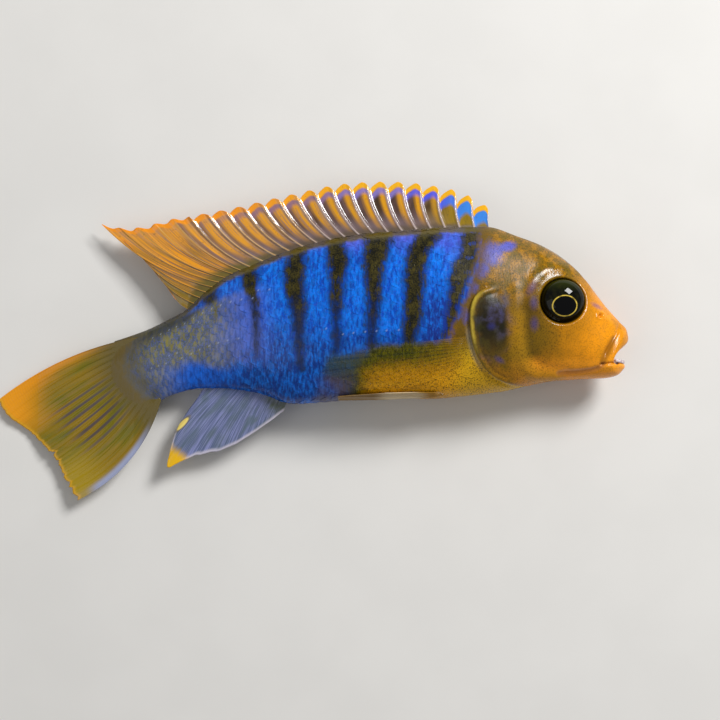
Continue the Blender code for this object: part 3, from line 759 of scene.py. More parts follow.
def evenRings(first, last, count):
    # ring numbers that lie evenly along the longest of three lines of the body
    fine = np.linspace(first, last, 900)
    lines = bodyPoint(fine[:, None], np.array([0.0, math.pi / 2, math.pi])[None, :])
    steps = np.linalg.norm(np.diff(lines, axis=0), axis=-1).max(axis=1)
    length = np.concatenate([[0.0], np.cumsum(steps)])
    return np.interp(np.linspace(0.0, length[-1], count), length, fine)


skinRings = np.concatenate([
    evenRings(0.0, skinForm["headEnd"], skinForm["headRings"])[:-1],
    evenRings(skinForm["headEnd"], lastRing, skinForm["bodyRings"]),
])


def skinUnwrap(ring, turn):
    # along the body and around it, cut open along the back
    edgeU, edgeV = skinForm["mapEdge"]
    u = np.interp(ring, skinRings, np.linspace(edgeU, 1.0 - edgeU, len(skinRings)))
    return u, mix(edgeV, 1.0 - edgeV, np.mod(turn / (2.0 * math.pi), 1.0))


def addSkin(material):
    rings = skinRings
    around = skinForm["around"]
    turns = np.linspace(0.0, 2.0 * math.pi, around, endpoint=False)
    flat = skinPoint(rings[:, None], turns[None, :])
    number = np.arange(len(rings) * around).reshape(-1, around)
    after = np.roll(number, -1, axis=1)
    walls = np.stack([number[:-1], after[:-1], after[1:], number[1:]], axis=-1)
    faces = walls.reshape(-1, 4).tolist()
    for i in (0, len(rings) - 1):
        for j in range(around // 2):
            ends = (j, j + 1, (around - j - 1) % around, (around - j) % around)
            corners = [i * around + k for k in dict.fromkeys(ends)]
            if len(corners) > 2:
                faces.append(corners if i else corners[::-1])
    skin = makePiece("skin", restOnFloor(placed(flat)), faces, material)
    dressWithFields(skin, flat, np.repeat(rings, around))
    index = cornerIndex(skin)
    u, v = skinUnwrap(rings[index // around], turns[index % around])
    wall = walls.size
    quad = v[:wall].reshape(-1, 4)
    quad[(quad.max(axis=1) > 0.9)[:, None] & (quad < 0.1)] = 1.0 - skinForm["mapEdge"][1]
    # the closed ends lie in the strips left free at both sides of the map
    strip = skinForm["mapStrip"]
    ends = flat.reshape(-1, 3)[index[wall:]]
    v[wall:] = 0.3 + 0.4 * (ends[:, 1] - ends[:, 1].min()) / np.ptp(ends[:, 1])
    across = strip * (1.0 + ends[:, 2] / 4.0)
    u[wall:] = np.where(u[wall:] < 0.5, across, 1.0 - 2.0 * strip + across)
    giveMap(skin, "OFBake", np.stack([u, v], axis=-1))
    return skin


wetSkin = paintSkin()
skin = addSkin(wetSkin)
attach(skin, "root")
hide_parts("head", "trunk", "tail_stem")
print("skin:", len(skin.data.polygons), "faces")

# Scales: closed thin shells in rows along the body, each one over the roots of those behind it
flankScales = {
    "rings": (12.6, 27.7),
    "spacing": 1.85,
    "rowStep": 1.34,
    "size": ((12.6, 0.92), (16.0, 1.0), (21.0, 1.0), (24.0, 0.86), (26.85, 0.62), (27.7, 0.42)),
    "along": 10,
    "across": 11,
    "rise": 0.12,
    "dash": 1.0,
}
headScales = {
    "rings": (7.6, 16.2),
    "spacing": 1.05,
    "rowStep": 0.72,
    "size": ((7.6, 0.8), (11.0, 0.95), (16.2, 1.15)),
    "along": 6,
    "across": 7,
    "rise": 0.045,
    "dash": 0.0,
}
scaleShape = {
    "reach": 1.62,  # length in shares of the spacing
    "width": 2.12,  # width in shares of the step between rows
    "sink": 0.05,
    "thick": 0.035,
    "tube": 0.1,  # height of the tube of a pored scale
    "jitter": 0.012,
    "widthVaries": (0.96, 1.04),
    "riseVaries": (0.8, 1.25),
    "sharp": 50.0,  # angle of its edges that stay sharp
    "patch": 0.0028,
}
lateralLine = {
    "upper": ((25.0, 9.4), (18.0, 11.6), (8.0, 12.0), (-2.0, 9.4), (-11.0, 7.1), (-18.6, 4.0), (-25.6, 0.6)),
    "middle": ((15.2, 1.8), (9.0, 1.8), (3.6, 1.5)),
    "lower": ((-11.0, 0.9), (-18.0, -1.0), (-26.0, -4.0)),
}


def scaleRoots(form, keep):
    first, last = form["rings"]
    fine = np.linspace(first, last, 900)
    sizes = np.interp(fine, *zip(*form["size"]))
    length = runLength(bodyPoint(fine, math.pi / 2), sizes[1:])
    turns = np.linspace(0.02, math.pi - 0.02, 400)
    halfStep = form["spacing"] / 2.0
    found = []
    for k in range(int(length[-1] / halfStep)):
        ring = np.interp(k * halfStep, length, fine)
        size = np.interp(ring, *zip(*form["size"]))
        around = runLength(bodyPoint(ring, turns))
        around -= np.interp(math.pi / 2, turns, around)
        step = form["rowStep"] * size
        for row in range(int(around[0] / step), int(around[-1] / step) + 1):
            if (row + k) % 2 == 0:
                found.append((ring, np.interp(row * step, around, turns), size))
    found = np.array(found)
    found[:, 0] += rng.normal(0.0, scaleShape["jitter"], len(found))
    spots = bodyPoint(found[:, 0], found[:, 1])
    return found[keep(spots[:, 0], spots[:, 1])]


def addScales(name, form, keep, side):
    ring, turn, size = scaleRoots(form, keep).T
    perRing, perTurn = (np.linalg.norm(slope, axis=1) for slope in bodySlopes(ring, turn, 0.05, 0.01))
    midRing = np.linalg.norm(bodySlopes(ring, math.pi / 2, 0.05)[0], axis=1)
    # the spacing opens and closes with the body away from its middle line
    reach = form["spacing"] * scaleShape["reach"] * size * np.clip(perRing / midRing, 0.6, 1.5)
    width = form["rowStep"] * scaleShape["width"] * size * rng.uniform(*scaleShape["widthVaries"], len(size))
    columns, rows = form["across"], form["along"]
    q, p = np.meshgrid(np.linspace(0.0, 1.0, rows), np.linspace(-1.0, 1.0, columns), indexing="ij")
    alongShape = q * (1.0 - 0.4 * np.abs(p) ** 2.2)
    bellied = 0.86 + 0.14 * np.sin(math.pi * np.minimum(q * 1.3, 1.0))
    acrossShape = 0.5 * p * bellied * (1.0 - 0.16 * q**3)
    gridRing = ring[:, None, None] + (reach / perRing)[:, None, None] * alongShape
    gridRing = np.clip(gridRing, 0.0, lastRing)
    gridTurn = turn[:, None, None] + (width / perTurn)[:, None, None] * acrossShape
    wild = rng.uniform(*scaleShape["riseVaries"], len(size))
    over = form["rise"] * (wild * np.minimum(size, 1.0) ** 2)[:, None, None] * q**0.85
    over = over - scaleShape["sink"] + 0.03 * (1.0 - p**2) * (1.0 - q)
    # pored scales of the lateral line carry a low tube
    spot = bodyPoint(ring, turn)
    lined = np.zeros(len(size), bool)
    for path in lateralLine.values():
        lined |= np.abs(pathField(spot[:, 0], spot[:, 1], path)[0]) < form["rowStep"] * 0.5 * size
    tube = scaleShape["tube"] * hump(p, 0.0, 0.24) * soft(0.15, 0.4, q) * fade(0.8, 0.95, q)
    over = over + lined[:, None, None] * tube
    middle = (slice(None), rows // 2, columns // 2)
    top = skinPoint(gridRing, gridTurn, over)
    centre = skinPoint(gridRing[middle], gridTurn[middle], over[middle] - scaleShape["thick"])

    def joined(sheetValues, centreValues):
        sheetRows = sheetValues.reshape(len(size), rows * columns, -1)
        return np.concatenate([sheetRows, centreValues[:, None]], axis=1)

    flat = joined(top, centre)
    lift = joined(over, over[middle][:, None])[..., 0]
    flat[..., 2] *= side
    points = restOnFloor(placed(flat), np.clip(lift, -0.05, 0.12))
    # faces of one scale: its upper sheet, and a fan under it
    sheet, rim = gridFaces(rows, columns)
    each = rows * columns + 1
    fan = np.stack([np.full(len(rim), rows * columns), np.roll(rim, -1), rim], axis=-1)
    if side < 0:
        sheet, fan = sheet[:, ::-1], fan[:, ::-1]
    faces = []
    for start in range(0, len(size) * each, each):
        faces.extend((sheet + start).tolist())
        faces.extend((fan + start).tolist())
    piece = makePiece(name, points, faces, wetSkin)
    piece.data.set_sharp_from_angle(angle=math.radians(scaleShape["sharp"]))
    dressWithFields(piece, flat, joined(gridRing, ring[:, None]))
    dash = soft(0.52, 0.6, q) * fade(0.68, 0.8, q) * fade(0.7, 1.0, np.abs(p)) * form["dash"]
    giveField(piece, "scaleDash", np.tile(np.append(dash.ravel(), 0.0), len(size)))
    # pale pore dots that also stand in as painted glints, fainter on the front of the upper line
    shown = lined * np.where((spot[:, 0] > -5.0) & (spot[:, 1] > 5.0), 0.45, 1.0)
    poreGlint = hump(q, 0.56, 0.08) * hump(p, 0.0, 0.2)
    giveField(piece, "poreGlint", shown[:, None] * np.append(poreGlint.ravel(), 0.0))
    giveField(piece, "scaleTint", np.repeat(rng.uniform(-1.0, 1.0, len(size)), each))
    # unwrap: the upper sheet and the under fan of each scale as two small patches at its root
    patch = scaleShape["patch"]
    spread = np.stack([q.ravel(), 0.5 + 0.5 * p.ravel()], axis=-1) * patch
    spread = np.concatenate([spread, [[patch / 2.0, patch / 2.0]]])
    local = np.concatenate([spread[sheet.ravel()], spread[fan.ravel()] - [patch * 1.15, 0.0]])
    rootAt = np.stack(skinUnwrap(ring, turn * side), axis=-1)
    giveMap(piece, "OFBake", rootAt[:, None, :] + local)
    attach(piece, "root")
    print(name, len(size), "scales")


def onFlank(x, y):
    gill = pathField(x, y, headLines["gillEdge"])[0]
    breast = soft(-5.5, -8.0, y) * 4.0
    return (gill < -0.5) & (x < 28.2 - breast) & (np.hypot((x - 25.0) / 0.8, (y + 1.7) / 2.6) > 1.0)


def onHead(x, y):
    gill = pathField(x, y, headLines["gillEdge"])[0]
    ridge = pathField(x, y, headLines["ridge"])[0]
    nape = (y > 8.9) & (x > 26.6) & (x < 36.5 + 0.1 * (y - 9.0)) & (gill < 20.0)
    cheek = (blob(x, y, (38.0, -0.4), (4.4, 3.9)) > 0.0) & (ridge > 1.0)
    breast = (gill < -0.5) & (x > 23.8) & (y < -5.5)
    return (nape | cheek | breast) & (eyeReach(x, y) > 5.0)


for side, word in ((1, "Right"), (-1, "Left")):
    addScales("flankScales" + word, flankScales, onFlank, side)
    addScales("headScales" + word, headScales, onHead, side)


# Fins: a closed thin sheet with its rays raised on both faces. Columns run along the rays.
def finGrid(roots, tips, bend, rows, phases, reachOf):
    count = len(roots)
    ray = np.append(np.repeat(np.arange(count - 1), len(phases)), count - 1)
    phase = np.append(np.tile(phases, count - 1), 0.0)
    base, end = curveAt(roots, ray + phase), curveAt(tips, ray + phase)
    t = np.linspace(0.0, 1.0, rows)[:, None] * np.ones(len(ray))
    reach = (t * reachOf(ray, phase))[..., None]
    chord = end - base
    side = np.stack([-chord[:, 1], chord[:, 0]], axis=-1)
    bow = np.interp(ray + phase, range(count), bend)[None, :, None]
    flat = base + chord * reach + side * bow * (4.0 * reach * (1.0 - reach))
    every = np.ones_like(t)
    return {
        "flat": flat,
        "t": t,
        "ray": ray * every,
        "phase": phase * every,
        "across": (ray + phase) * every,
        "near": np.abs(np.where(phase < 0.5, phase, phase - 1.0)) * every,  # away from the nearest ray
        "edge": (1.0 - t) * np.linalg.norm(chord, axis=1) * reachOf(ray, phase),
    }


def forkedRays(grid, first, second, spread, width):
    # height, 0 to 1, of soft rays that fork at two heights
    signed = np.where(grid["phase"] < 0.5, grid["phase"], grid["phase"] - 1.0)
    wide = spread * soft(first, 1.0, grid["t"])
    fine = 0.5 * spread * soft(second, 1.0, grid["t"])
    offsets = [a * wide + b * fine for a in (-1.0, 1.0) for b in (-1.0, 1.0)]
    away = np.minimum.reduce([np.abs(signed - offset) for offset in offsets])
    return np.sqrt(np.clip(1.0 - (away / width) ** 2, 0.0, 1.0))


def addFin(name, grid, middle, normal, half, material):
    rows, columns = half.shape
    top = placed(middle + normal * half[..., None])
    under = placed(middle - normal * half[..., None])
    top[..., 2] = np.maximum(top[..., 2], 2.0 * fishForm["webRoom"])
    under[..., 2] = np.maximum(under[..., 2], fishForm["webRoom"])
    quads, rim = gridFaces(rows, columns)
    topFaces = np.concatenate([quads[:, [0, 1, 2]], quads[:, [0, 2, 3]]])
    after = np.roll(rim, -1)
    count = rows * columns
    upperSides = np.stack([rim, after + count, after], axis=1)
    lowerSides = np.stack([rim, rim + count, after + count], axis=1)
    faces = np.concatenate([topFaces, topFaces[:, ::-1] + count, upperSides, lowerSides])
    points = np.concatenate([top.reshape(-1, 3), under.reshape(-1, 3)])
    a, b, c = np.moveaxis(points[faces], 1, 0)
    volume = (a * np.cross(b, c)).sum()
    faces = faces if volume > 0 else faces[:, ::-1]
    fin = makePiece(name, points, faces.tolist(), material)
    fields = {key: grid[key] for key in ("t", "phase", "edge", "ray", "near")}
    for key, values in {**fields, "length": middle[..., 0], "height": middle[..., 1]}.items():
        giveField(fin, key, np.tile(values.ravel(), 2))
    along = np.stack([grid["across"], grid["t"]], axis=-1).reshape(-1, 2)
    giveMap(fin, "finMap", np.tile(along, (2, 1))[cornerIndex(fin)])
    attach(fin, "root")
    return fin


def rootLine(rings, turns, shares, outward):
    # points along the edge of the body, moved out by so many mm
    points = bodyPoint(np.linspace(*rings, 160), np.linspace(*turns, 160))[:, :2]
    along = np.gradient(points, axis=0)
    away = np.stack([along[:, 1], -along[:, 0]], axis=-1)
    away /= np.linalg.norm(away, axis=1, keepdims=True)
    return pathPoints(points + away * outward, shares)


def flatFin(name, grid, half, lift, material):
    middle = np.concatenate([grid["flat"], lift[..., None]], axis=-1)
    return addFin(name, grid, middle, np.array([0.0, 0.0, 1.0]), half, material)


def raggedReach(rayCount, amount, seed, torn=((0, 1.0),)):
    # small tears between the rays; torn is how much of them each part of the margin has
    own = np.random.default_rng(seed)
    fineSteps = 8  # of the roughness from one ray to the next
    depth = own.uniform(0.15, 1.0, rayCount) ** 1.8 * amount
    skew = own.uniform(0.35, 0.65, rayCount)
    fine = own.normal(0.0, amount * 0.1, (rayCount + 1) * fineSteps)

    def reach(ray, phase):
        index = np.asarray(ray, int)
        dip = np.clip(1.0 - np.abs(phase - skew[index]) / 0.45, 0.0, 1.0) ** 1.5
        rough = np.interp((ray + phase) * fineSteps, range(len(fine)), fine)
        return 1.0 + (rough - depth[index] * dip) * np.interp(ray + phase, *zip(*torn))

    return reach


def softFin(form, roots, tips, bend):
    # grid of a fin of soft rays, with the thickness of its sheet and of its rays
    phases = np.arange(form["steps"]) / form["steps"]
    grid = finGrid(roots, tips, bend, form["rows"], phases, raggedReach(form["rays"], *form["ragged"]))
    t = grid["t"]
    return grid, mix(*form["sheet"], t), mix(*form["radius"], t) * forkedRays(grid, *form["forks"])


def jointed(paint, height, joints):
    # adds the fine joints of the soft rays to a bump height
    return paint.warp(height, paint.reckon("SINE", paint.share("t", joints * 2.0 * math.pi)), 0.22)


def finPaint(name, rough, coat=0.4, **sockets):
    return Paint(
        name, Roughness=rough, Specular_IOR_Level=0.25, Coat_Weight=coat, Coat_Roughness=0.09, **sockets
    )


# Dorsal fin
dorsalForm = {
    "spines": 18,
    "softRays": 9,
    "rearRays": 4,  # soft rays that end on the rear margin
    "spinyShare": 0.76,
    "rings": (14.12, 23.9),
    "spineTips": (
        (29.2, 22.1), (24.0, 24.9), (15.0, 26.4), (5.0, 26.1), (-4.5, 24.1), (-13.0, 22.1), (-20.8, 20.6),
    ),
    "topTips": ((-23.6, 20.2), (-26.5, 19.4), (-31.0, 18.6), (-35.4, 19.3)),
    "rearTips": ((-31.6, 16.6), (-28.6, 13.6), (-26.0, 10.6), (-23.4, 7.2)),
    "rows": 64,
    "phases": (
        0, 0.03, 0.06, 0.09, 0.13, 0.18, 0.24, 0.3, 0.38, 0.46, 0.54, 0.62, 0.7, 0.77, 0.82, 0.86, 0.89,
        0.905, 0.92, 0.94, 0.97,
    ),
    "spineRadius": (0.18, 0.2),
    "spineWidth": 0.18,
    "softRadius": (0.17, 0.06),
    "forks": (0.35, 0.7, 0.13, 0.09),
    "sheet": (0.12, 0.06),
    "fleshyRoot": 0.55,
    "droop": 0.25,
    "bow": ((0, 0.045), (3, 0.085), (16, 0.08), (26, 0.07)),  # of each spine, in shares of its length
    "lean": (0.317, 0.299),  # drop of a spine for each mm that it runs towards the snout and the back
    # reach of the margin from one spine to the next: a rounded flag behind each tip, then a notch
    "flag": (
        (0.0, 0.95), (0.06, 0.972), (0.13, 0.99), (0.22, 1.003), (0.3, 1.006), (0.4, 0.998), (0.54, 0.972),
        (0.7, 0.942), (0.82, 0.912), (0.88, 0.888), (0.905, 0.886), (0.94, 0.915), (1.0, 0.95),
    ),
    # how deep the flags are cut from the first spine to the last
    "flagDepth": ((0, 3.2), (1, 2.7), (2, 2.0), (3, 1.5), (5, 1.15), (10, 0.9), (17, 0.45)),
    "scallop": 0.035,  # of the margin between soft rays
}


def dorsalReach(ray, phase):
    depth = np.interp(ray, *zip(*dorsalForm["flagDepth"]))
    flag = 1.0 + (np.interp(phase, *zip(*dorsalForm["flag"])) - 1.0) * depth
    scallop = 1.0 - dorsalForm["scallop"] * np.sin(np.pi * phase) ** 2
    return np.where(ray < dorsalForm["spines"] - 1, flag, scallop)


def paintDorsal():
    paint = finPaint("dorsalMembrane", 0.3, 1.0)
    streak = paint.noise((7, 1.3, 1), 3, 0.6, "finMap")
    cloud = paint.noise((1.1, 2.2, 1), mapName="finMap")
    fleck = paint.noise((2600, 2600, 2600))
    phase = paint.warp(-0.15, "phase", 1, streak, 0.3)
    edge = paint.warp(-0.4, "edge", 1, cloud, 0.8)
    lower = paint.warp("t", cloud, 0.3)
    # behind each spine: lilac grey, an orange stripe, then brown; the stripe widens to the rear
    stripe = paint.reckon("SUBTRACT", phase, paint.step("length", -16, 14, 0.66, 0.42))
    orange = paint.coats(
        (236, 162, 40), ((216, 150, 14), ("length", -14, 6)), ((120, 98, 88), (lower, 0.3, 0.62, 0.75, 0))
    )
    brown = paint.coats(
        (62, 42, 20),
        ((88, 64, 60), (cloud, 0.36, 0.62)),
        ((136, 100, 74), ("length", -14, 4, 0.8, 0)),
        ((112, 94, 96), (lower, 0.38, 0.66, 0.8, 0)),
    )
    frontOlive = paint.coats((108, 92, 6), ((164, 128, 10), streak))
    softStart = paint.step("ray", 16.4, 18.6)
    softRear = paint.coats(
        (236, 156, 26),
        ((132, 98, 74), (streak, 0.4, 0.6)),
        ((150, 112, 28), (cloud, 0.42, 0.7, 0, 0.7)),
        ((244, 164, 40), ("t", 0.5, 1, 0, 0.6)),
        ((112, 100, 20), ("ray", 21.5, 24.6, 0, 0.8)),
    )
    # band under the flags, bluest over the shoulder
    band = paint.coats(
        (132, 116, 190),
        ((72, 84, 226), ("length", 13, 18)),
        ((30, 132, 232), ("length", 20, 25.5)),
        ((140, 106, 130), ("length", -1, 7, 1, 0)),
    )
    bandEdge = paint.reckon("ADD", edge, paint.step("length", 19.5, 25, 0, -1.1))
    flag = paint.coats((246, 150, 22), ((238, 174, 16), ("length", -16, 12)))
    # flesh at the root: translucent grey brown, olive under the soft rays
    root = paint.coats((96, 88, 34), ((88, 74, 60), ("length", -12, -4)))
    # spines pale bone, painted paler still as a highlight along each spine
    boneAndGlint = paint.coats((206, 166, 112), ((186, 168, 164), ("length", -6, 4)), ((196, 142, 52), softStart))
    colour = paint.coats(
        (132, 108, 112),
        (orange, (phase, 0.03, 0.17)),
        (brown, (stripe, -0.2, 0.16)),
        ((136, 108, 106), (streak, 0.5, 0.62, 0, 0.6), ("length", -4, 8, 1, 0.2)),
        (frontOlive, (paint.warp("length", cloud, 6), 20, 27)),
        (softRear, softStart),
        (band, (edge, 0.7, 1.1), (bandEdge, 1.4, 2.3, 1, 0), ("length", -22, -6, 0.1, 0.9)),
        (flag, (edge, 0.65, 1.1, 1, 0)),
        (root, (paint.warp("t", cloud, 0.14), 0.16, 0.3, 0.92, 0)),
        (boneAndGlint, ("near", 0.03, 0.1, 0.75, 0), (edge, 0.4, 1.1, 0.1, 1)),
        ((70, 56, 46), (fleck, 0.62, 0.72, 0, 0.3)),
    )
    return paint.finish(colour, (cloud, 0.3, 0.7, 0.16, 0.28), streak, 0.3, 0.00005)


def addDorsal():
    form = dorsalForm
    spiny = np.linspace(0.0, form["spinyShare"], form["spines"])
    softer = np.linspace(form["spinyShare"] + 0.03, 1.0, form["softRays"])
    roots = rootLine(form["rings"], (0.0, 0.0), np.concatenate([spiny, softer]), -0.5)
    tips = np.concatenate([
        pathPoints(form["spineTips"], form["spines"]),
        pathPoints(form["topTips"], form["softRays"] - form["rearRays"]),
        pathPoints(form["rearTips"], form["rearRays"]),
    ])
    bend = np.interp(range(len(roots)), *zip(*form["bow"]))
    grid = finGrid(roots, tips, bend, form["rows"], form["phases"], dorsalReach)
    t, ray = grid["t"], grid["ray"]
    spinyPart = grid["across"] < form["spines"] - 0.5
    ridge = np.clip(1.03 - np.sqrt((grid["near"] / form["spineWidth"]) ** 2 + 0.0009), 0.0, 1.0)
    spines = mix(*form["spineRadius"], t) * ridge
    softRays = mix(*form["softRadius"], t) * forkedRays(grid, *form["forks"])
    half = mix(*form["sheet"], t) + form["fleshyRoot"] * fade(0.0, 0.2, t)
    half = half + np.where(spinyPart, spines, softRays)
    # the membrane sags between the spines, and the raised fin hangs a little towards the floor
    sag = 0.12 * np.sin(np.pi * grid["phase"]) * soft(0.05, 0.3, t) * np.where(spinyPart, 1.0, 0.3)
    drop = np.clip((tips - roots) @ np.array(form["lean"]), 0.0, None)
    lift = -sag - form["droop"] * t**1.6 - np.interp(grid["across"], range(len(drop)), drop) * t
    lift = lift + 0.08 * np.sin(1.7 * ray) * t + 0.012 * ridge * np.sin(34.0 * t + 2.3 * ray)
    fin = flatFin("dorsalFin", grid, half, lift, paintDorsal())
    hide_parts("dorsal_fin")


addDorsal()
print("dorsal fin")

# Caudal fin
caudalForm = {
    "rays": 17,
    "turns": (0.04, 3.1),
    "margin": (
        (-52.6, -10.0), (-51.0, -12.6), (-47.4, -15.3), (-43.4, -19.4), (-41.2, -23.8), (-39.3, -26.7),
    ),
    "bow": (-0.065, 0.11),
    "rows": 104,
    "steps": 16,
    "ragged": (0.035, 5, ((0, 0.15), (4, 0.3), (8, 1.0), (12, 1.2), (15, 0.5))),
    "forks": (0.25, 0.55, 0.15, 0.11),
    "radius": (0.15, 0.05),
    "sheet": (0.12, 0.06),
    "fleshyRoot": 0.3,
    "outerRay": 0.12,
    "wave": 0.22,
}


def paintCaudal():
    paint = finPaint("caudalMembrane", 0.32)
    streak = paint.noise((3.4, 1.1, 1), 3, 0.6, "finMap")
    fine = paint.noise((14, 2.4, 1), 2, 0.6, "finMap")
    cloud = paint.noise((0.5, 2, 1), mapName="finMap")
    across = paint.reckon("ADD", "ray", "phase")
    colour = paint.coats(
        (138, 112, 0),
        ((102, 104, 0), (cloud, 0.4, 0.66)),
        ((164, 124, 12), (fine, 0.42, 0.66, 0, 0.5)),
        # purple grey streaks between the middle rays
        ((72, 62, 70), (paint.warp("near", streak, 0.5), 0.52, 0.66), ("ray", 3.5, 5.5),
         ("ray", 10.5, 12.5, 1, 0), ("t", 0.14, 0.34), ("t", 0.66, 0.9, 1, 0), 0.9),
        # orange upper edge and lobe, yellow lower lobe
        ((226, 144, 18), (paint.warp(across, cloud, 1.4, "t", -2.4), -0.9, 1.5, 1, 0)),
        ((238, 156, 18), ("t", 0.62, 0.98), (across, 2.5, 7.5, 1, 0)),
        ((172, 144, 14), ("t", 0.55, 0.95), ("ray", 8.5, 12.5), 0.85),
        ((220, 164, 32), ("edge", 0.15, 0.8, 0.8, 0)),
        ((158, 168, 205), (across, 15, 15.6), ("t", 0.1, 0.25), ("t", 0.8, 0.95, 0.9, 0.1)),
        # olive scaled root
        ((96, 82, 30), (paint.warp("t", streak, 0.12), 0.2, 0.52, 0.95, 0)),
    )
    return paint.finish(colour, (cloud, 0.3, 0.7, 0.22, 0.36), jointed(paint, fine, 56), 0.4, 0.00006)


def addCaudal():
    form = caudalForm
    roots = rootLine((fishForm["stemEnd"], fishForm["stemEnd"]), form["turns"], form["rays"], -0.9)
    bend = np.linspace(*form["bow"], form["rays"])
    grid, sheet, rays = softFin(form, roots, pathPoints(form["margin"], form["rays"]), bend)
    t, across = grid["t"], grid["across"]
    outer = np.minimum(across, form["rays"] - 1 - across)
    half = sheet + rays * soft(0.1, 0.36, t) + form["fleshyRoot"] * fade(0.0, 0.28, t)
    half = half + form["outerRay"] * fade(0.0, 1.2, outer) * (1.0 - 0.7 * t)
    lift = form["wave"] * np.sin(0.9 * across) * t * soft(0.18, 0.5, t)
    fin = flatFin("caudalFin", grid, half, lift, paintCaudal())
    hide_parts("caudal_fin")


addCaudal()
print("caudal fin")

# Anal fin
analForm = {
    "rays": 11,
    "rearRays": 3,
    "rings": (20.05, 23.2),
    "frontTips": ((-5.0, -11.8), (-9.4, -15.0), (-14.6, -18.1), (-20.0, -19.4), (-24.5, -21.2)),
    "rearTips": ((-23.3, -16.0), (-21.9, -13.0), (-19.4, -9.8)),
    "bow": -0.03,
    "rows": 80,
    "steps": 14,
    "ragged": (0.02, 9),
    "forks": (0.3, 0.65, 0.14, 0.11),
    "radius": (0.17, 0.05),
    "sheet": (0.12, 0.06),
    "fleshyRoot": 0.4,
    "droop": 0.6,
    "wave": 0.18,
    "eggSpot": (-21.95, -14.0),
}


def paintAnal():
    paint = finPaint("analMembrane", 0.3)
    fine = paint.noise((11, 1.6, 1), 3, 0.6, "finMap")
    cloud = paint.noise((0.8, 2.4, 1), mapName="finMap")
    # how far the slanting oval of the egg spot is away
    dx = paint.reckon("SUBTRACT", "length", analForm["eggSpot"][0])
    dy = paint.reckon("SUBTRACT", "height", analForm["eggSpot"][1])
    lengthwise = paint.warp(paint.share(dy, 0.72), dx, 0.69)
    crosswise = paint.warp(paint.share(dy, -0.69), dx, 0.72)
    squared = paint.warp(paint.share(crosswise, crosswise, 5.6), lengthwise, paint.share(lengthwise, 0.4))
    oval = paint.reckon("SQRT", squared)
    colour = paint.coats(
        (92, 104, 138),
        ((138, 144, 192), (fine, 0.4, 0.64)),
        ((86, 104, 112), (cloud, 0.42, 0.66, 0, 0.7)),
        ((50, 84, 150), ("t", 0, 0.2, 0.5, 0)),
        ((92, 98, 50), (paint.warp("length", cloud, 5), -7.5, -2.5, 0, 0.65)),
        ((206, 200, 214), (paint.warp("edge", cloud, 0.5), 0.4, 1.2, 0.85, 0)),
        ((240, 186, 20), (paint.warp("height", "length", 0.75, fine, 1.6), -36, -33.6, 1, 0)),
        ((120, 112, 96), (oval, 1.05, 1.5, 0.75, 0)),
        ((250, 224, 120), (oval, 0.75, 1.05, 1, 0)),
    )
    return paint.finish(colour, (cloud, 0.3, 0.7, 0.2, 0.34), jointed(paint, fine, 40), 0.4, 0.00005)


def addAnal():
    form = analForm
    roots = rootLine(form["rings"], (math.pi, math.pi), form["rays"], 0.6)
    front = pathPoints(form["frontTips"], form["rays"] - form["rearRays"])
    tips = np.concatenate([front, pathPoints(form["rearTips"], form["rearRays"])])
    grid, sheet, rays = softFin(form, roots, tips, np.full(form["rays"], form["bow"]))
    t = grid["t"]
    half = sheet + rays + form["fleshyRoot"] * fade(0.0, 0.2, t)
    lift = form["wave"] * np.sin(1.1 * grid["across"]) * t - form["droop"] * t**1.6
    fin = flatFin("analFin", grid, half, lift, paintAnal())
    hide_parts("anal_fin")


addAnal()
print("anal fin")

# Pectoral and pelvic fins, laid along the flank
pectoralForm = {
    "rays": 13,
    "root": ((25.0, 0.6), (25.3, -1.7), (24.7, -3.9)),
    "margin": ((17.5, -0.3), (9.0, -1.4), (3.0, -3.1), (1.0, -4.8), (5.0, -6.3), (12.0, -7.2), (19.0, -6.6)),
    "rows": 70,
    "steps": 10,
    "ragged": (0.02, 21),
    "forks": (0.4, 0.75, 0.14, 0.12),
    "radius": (0.11, 0.04),
    "sheet": (0.06, 0.035),
    "clear": 0.15,
    "node": "pectoral_fin_",
    "slot": "pectoral_membrane",
}
laidFins = {
    "over": 0.28,  # over the flank
    "opens": 0.3,  # more than that at the tips
    "tucked": (0.35, 0.12),  # less than that at the root, and over what share of the fin
    "wave": 0.1,
    "floorRoom": 0.25,  # middle of the sheet over the floor on the left side
}
pelvicForm = {
    "rays": 6,
    "root": ((21.8, -9.1), (21.0, -8.5)),
    "margin": ((4.0, -9.6), (3.2, -9.2), (7.0, -8.7), (12.0, -8.3)),
    "rows": 60,
    "steps": 10,
    "ragged": (0.02, 21),
    "forks": (0.4, 0.75, 0.14, 0.12),
    "radius": (0.1, 0.03),
    "sheet": (0.08, 0.04),
    "node": "pelvic_fin_",
    "slot": "pelvic_membrane",
}


def paintPectoral():
    paint = finPaint("pectoralMembrane", 0.25, 0.25, Alpha=pectoralForm["clear"])
    fine = paint.noise((9, 1.4, 1), 3, 0.6, "finMap")
    cloud = paint.noise((0.7, 2.4, 1), mapName="finMap")
    length = paint.warp("length", cloud, 5)
    low = paint.share((paint.warp("height", cloud, 2), -5.4, -2, 0.9, 0), (length, 9, 16))
    ray = paint.coats((6, 30, 34), ((150, 112, 16), low))
    colour = paint.coats(
        (44, 84, 112),
        ((76, 80, 8), (length, 3.5, 9.5)),
        ((196, 146, 16), (length, 18, 25)),
        ((214, 156, 14), low),
        ((150, 126, 24), (fine, 0.45, 0.65, 0, 0.3)),
        (ray, ("near", 0.05, 0.2, 0.85, 0)),
        ((206, 158, 22), ("t", 0, 0.12, 0.8, 0)),
    )
    return paint.finish(colour, (cloud, 0.3, 0.7, 0.18, 0.3), fine, 0.25, 0.00004)


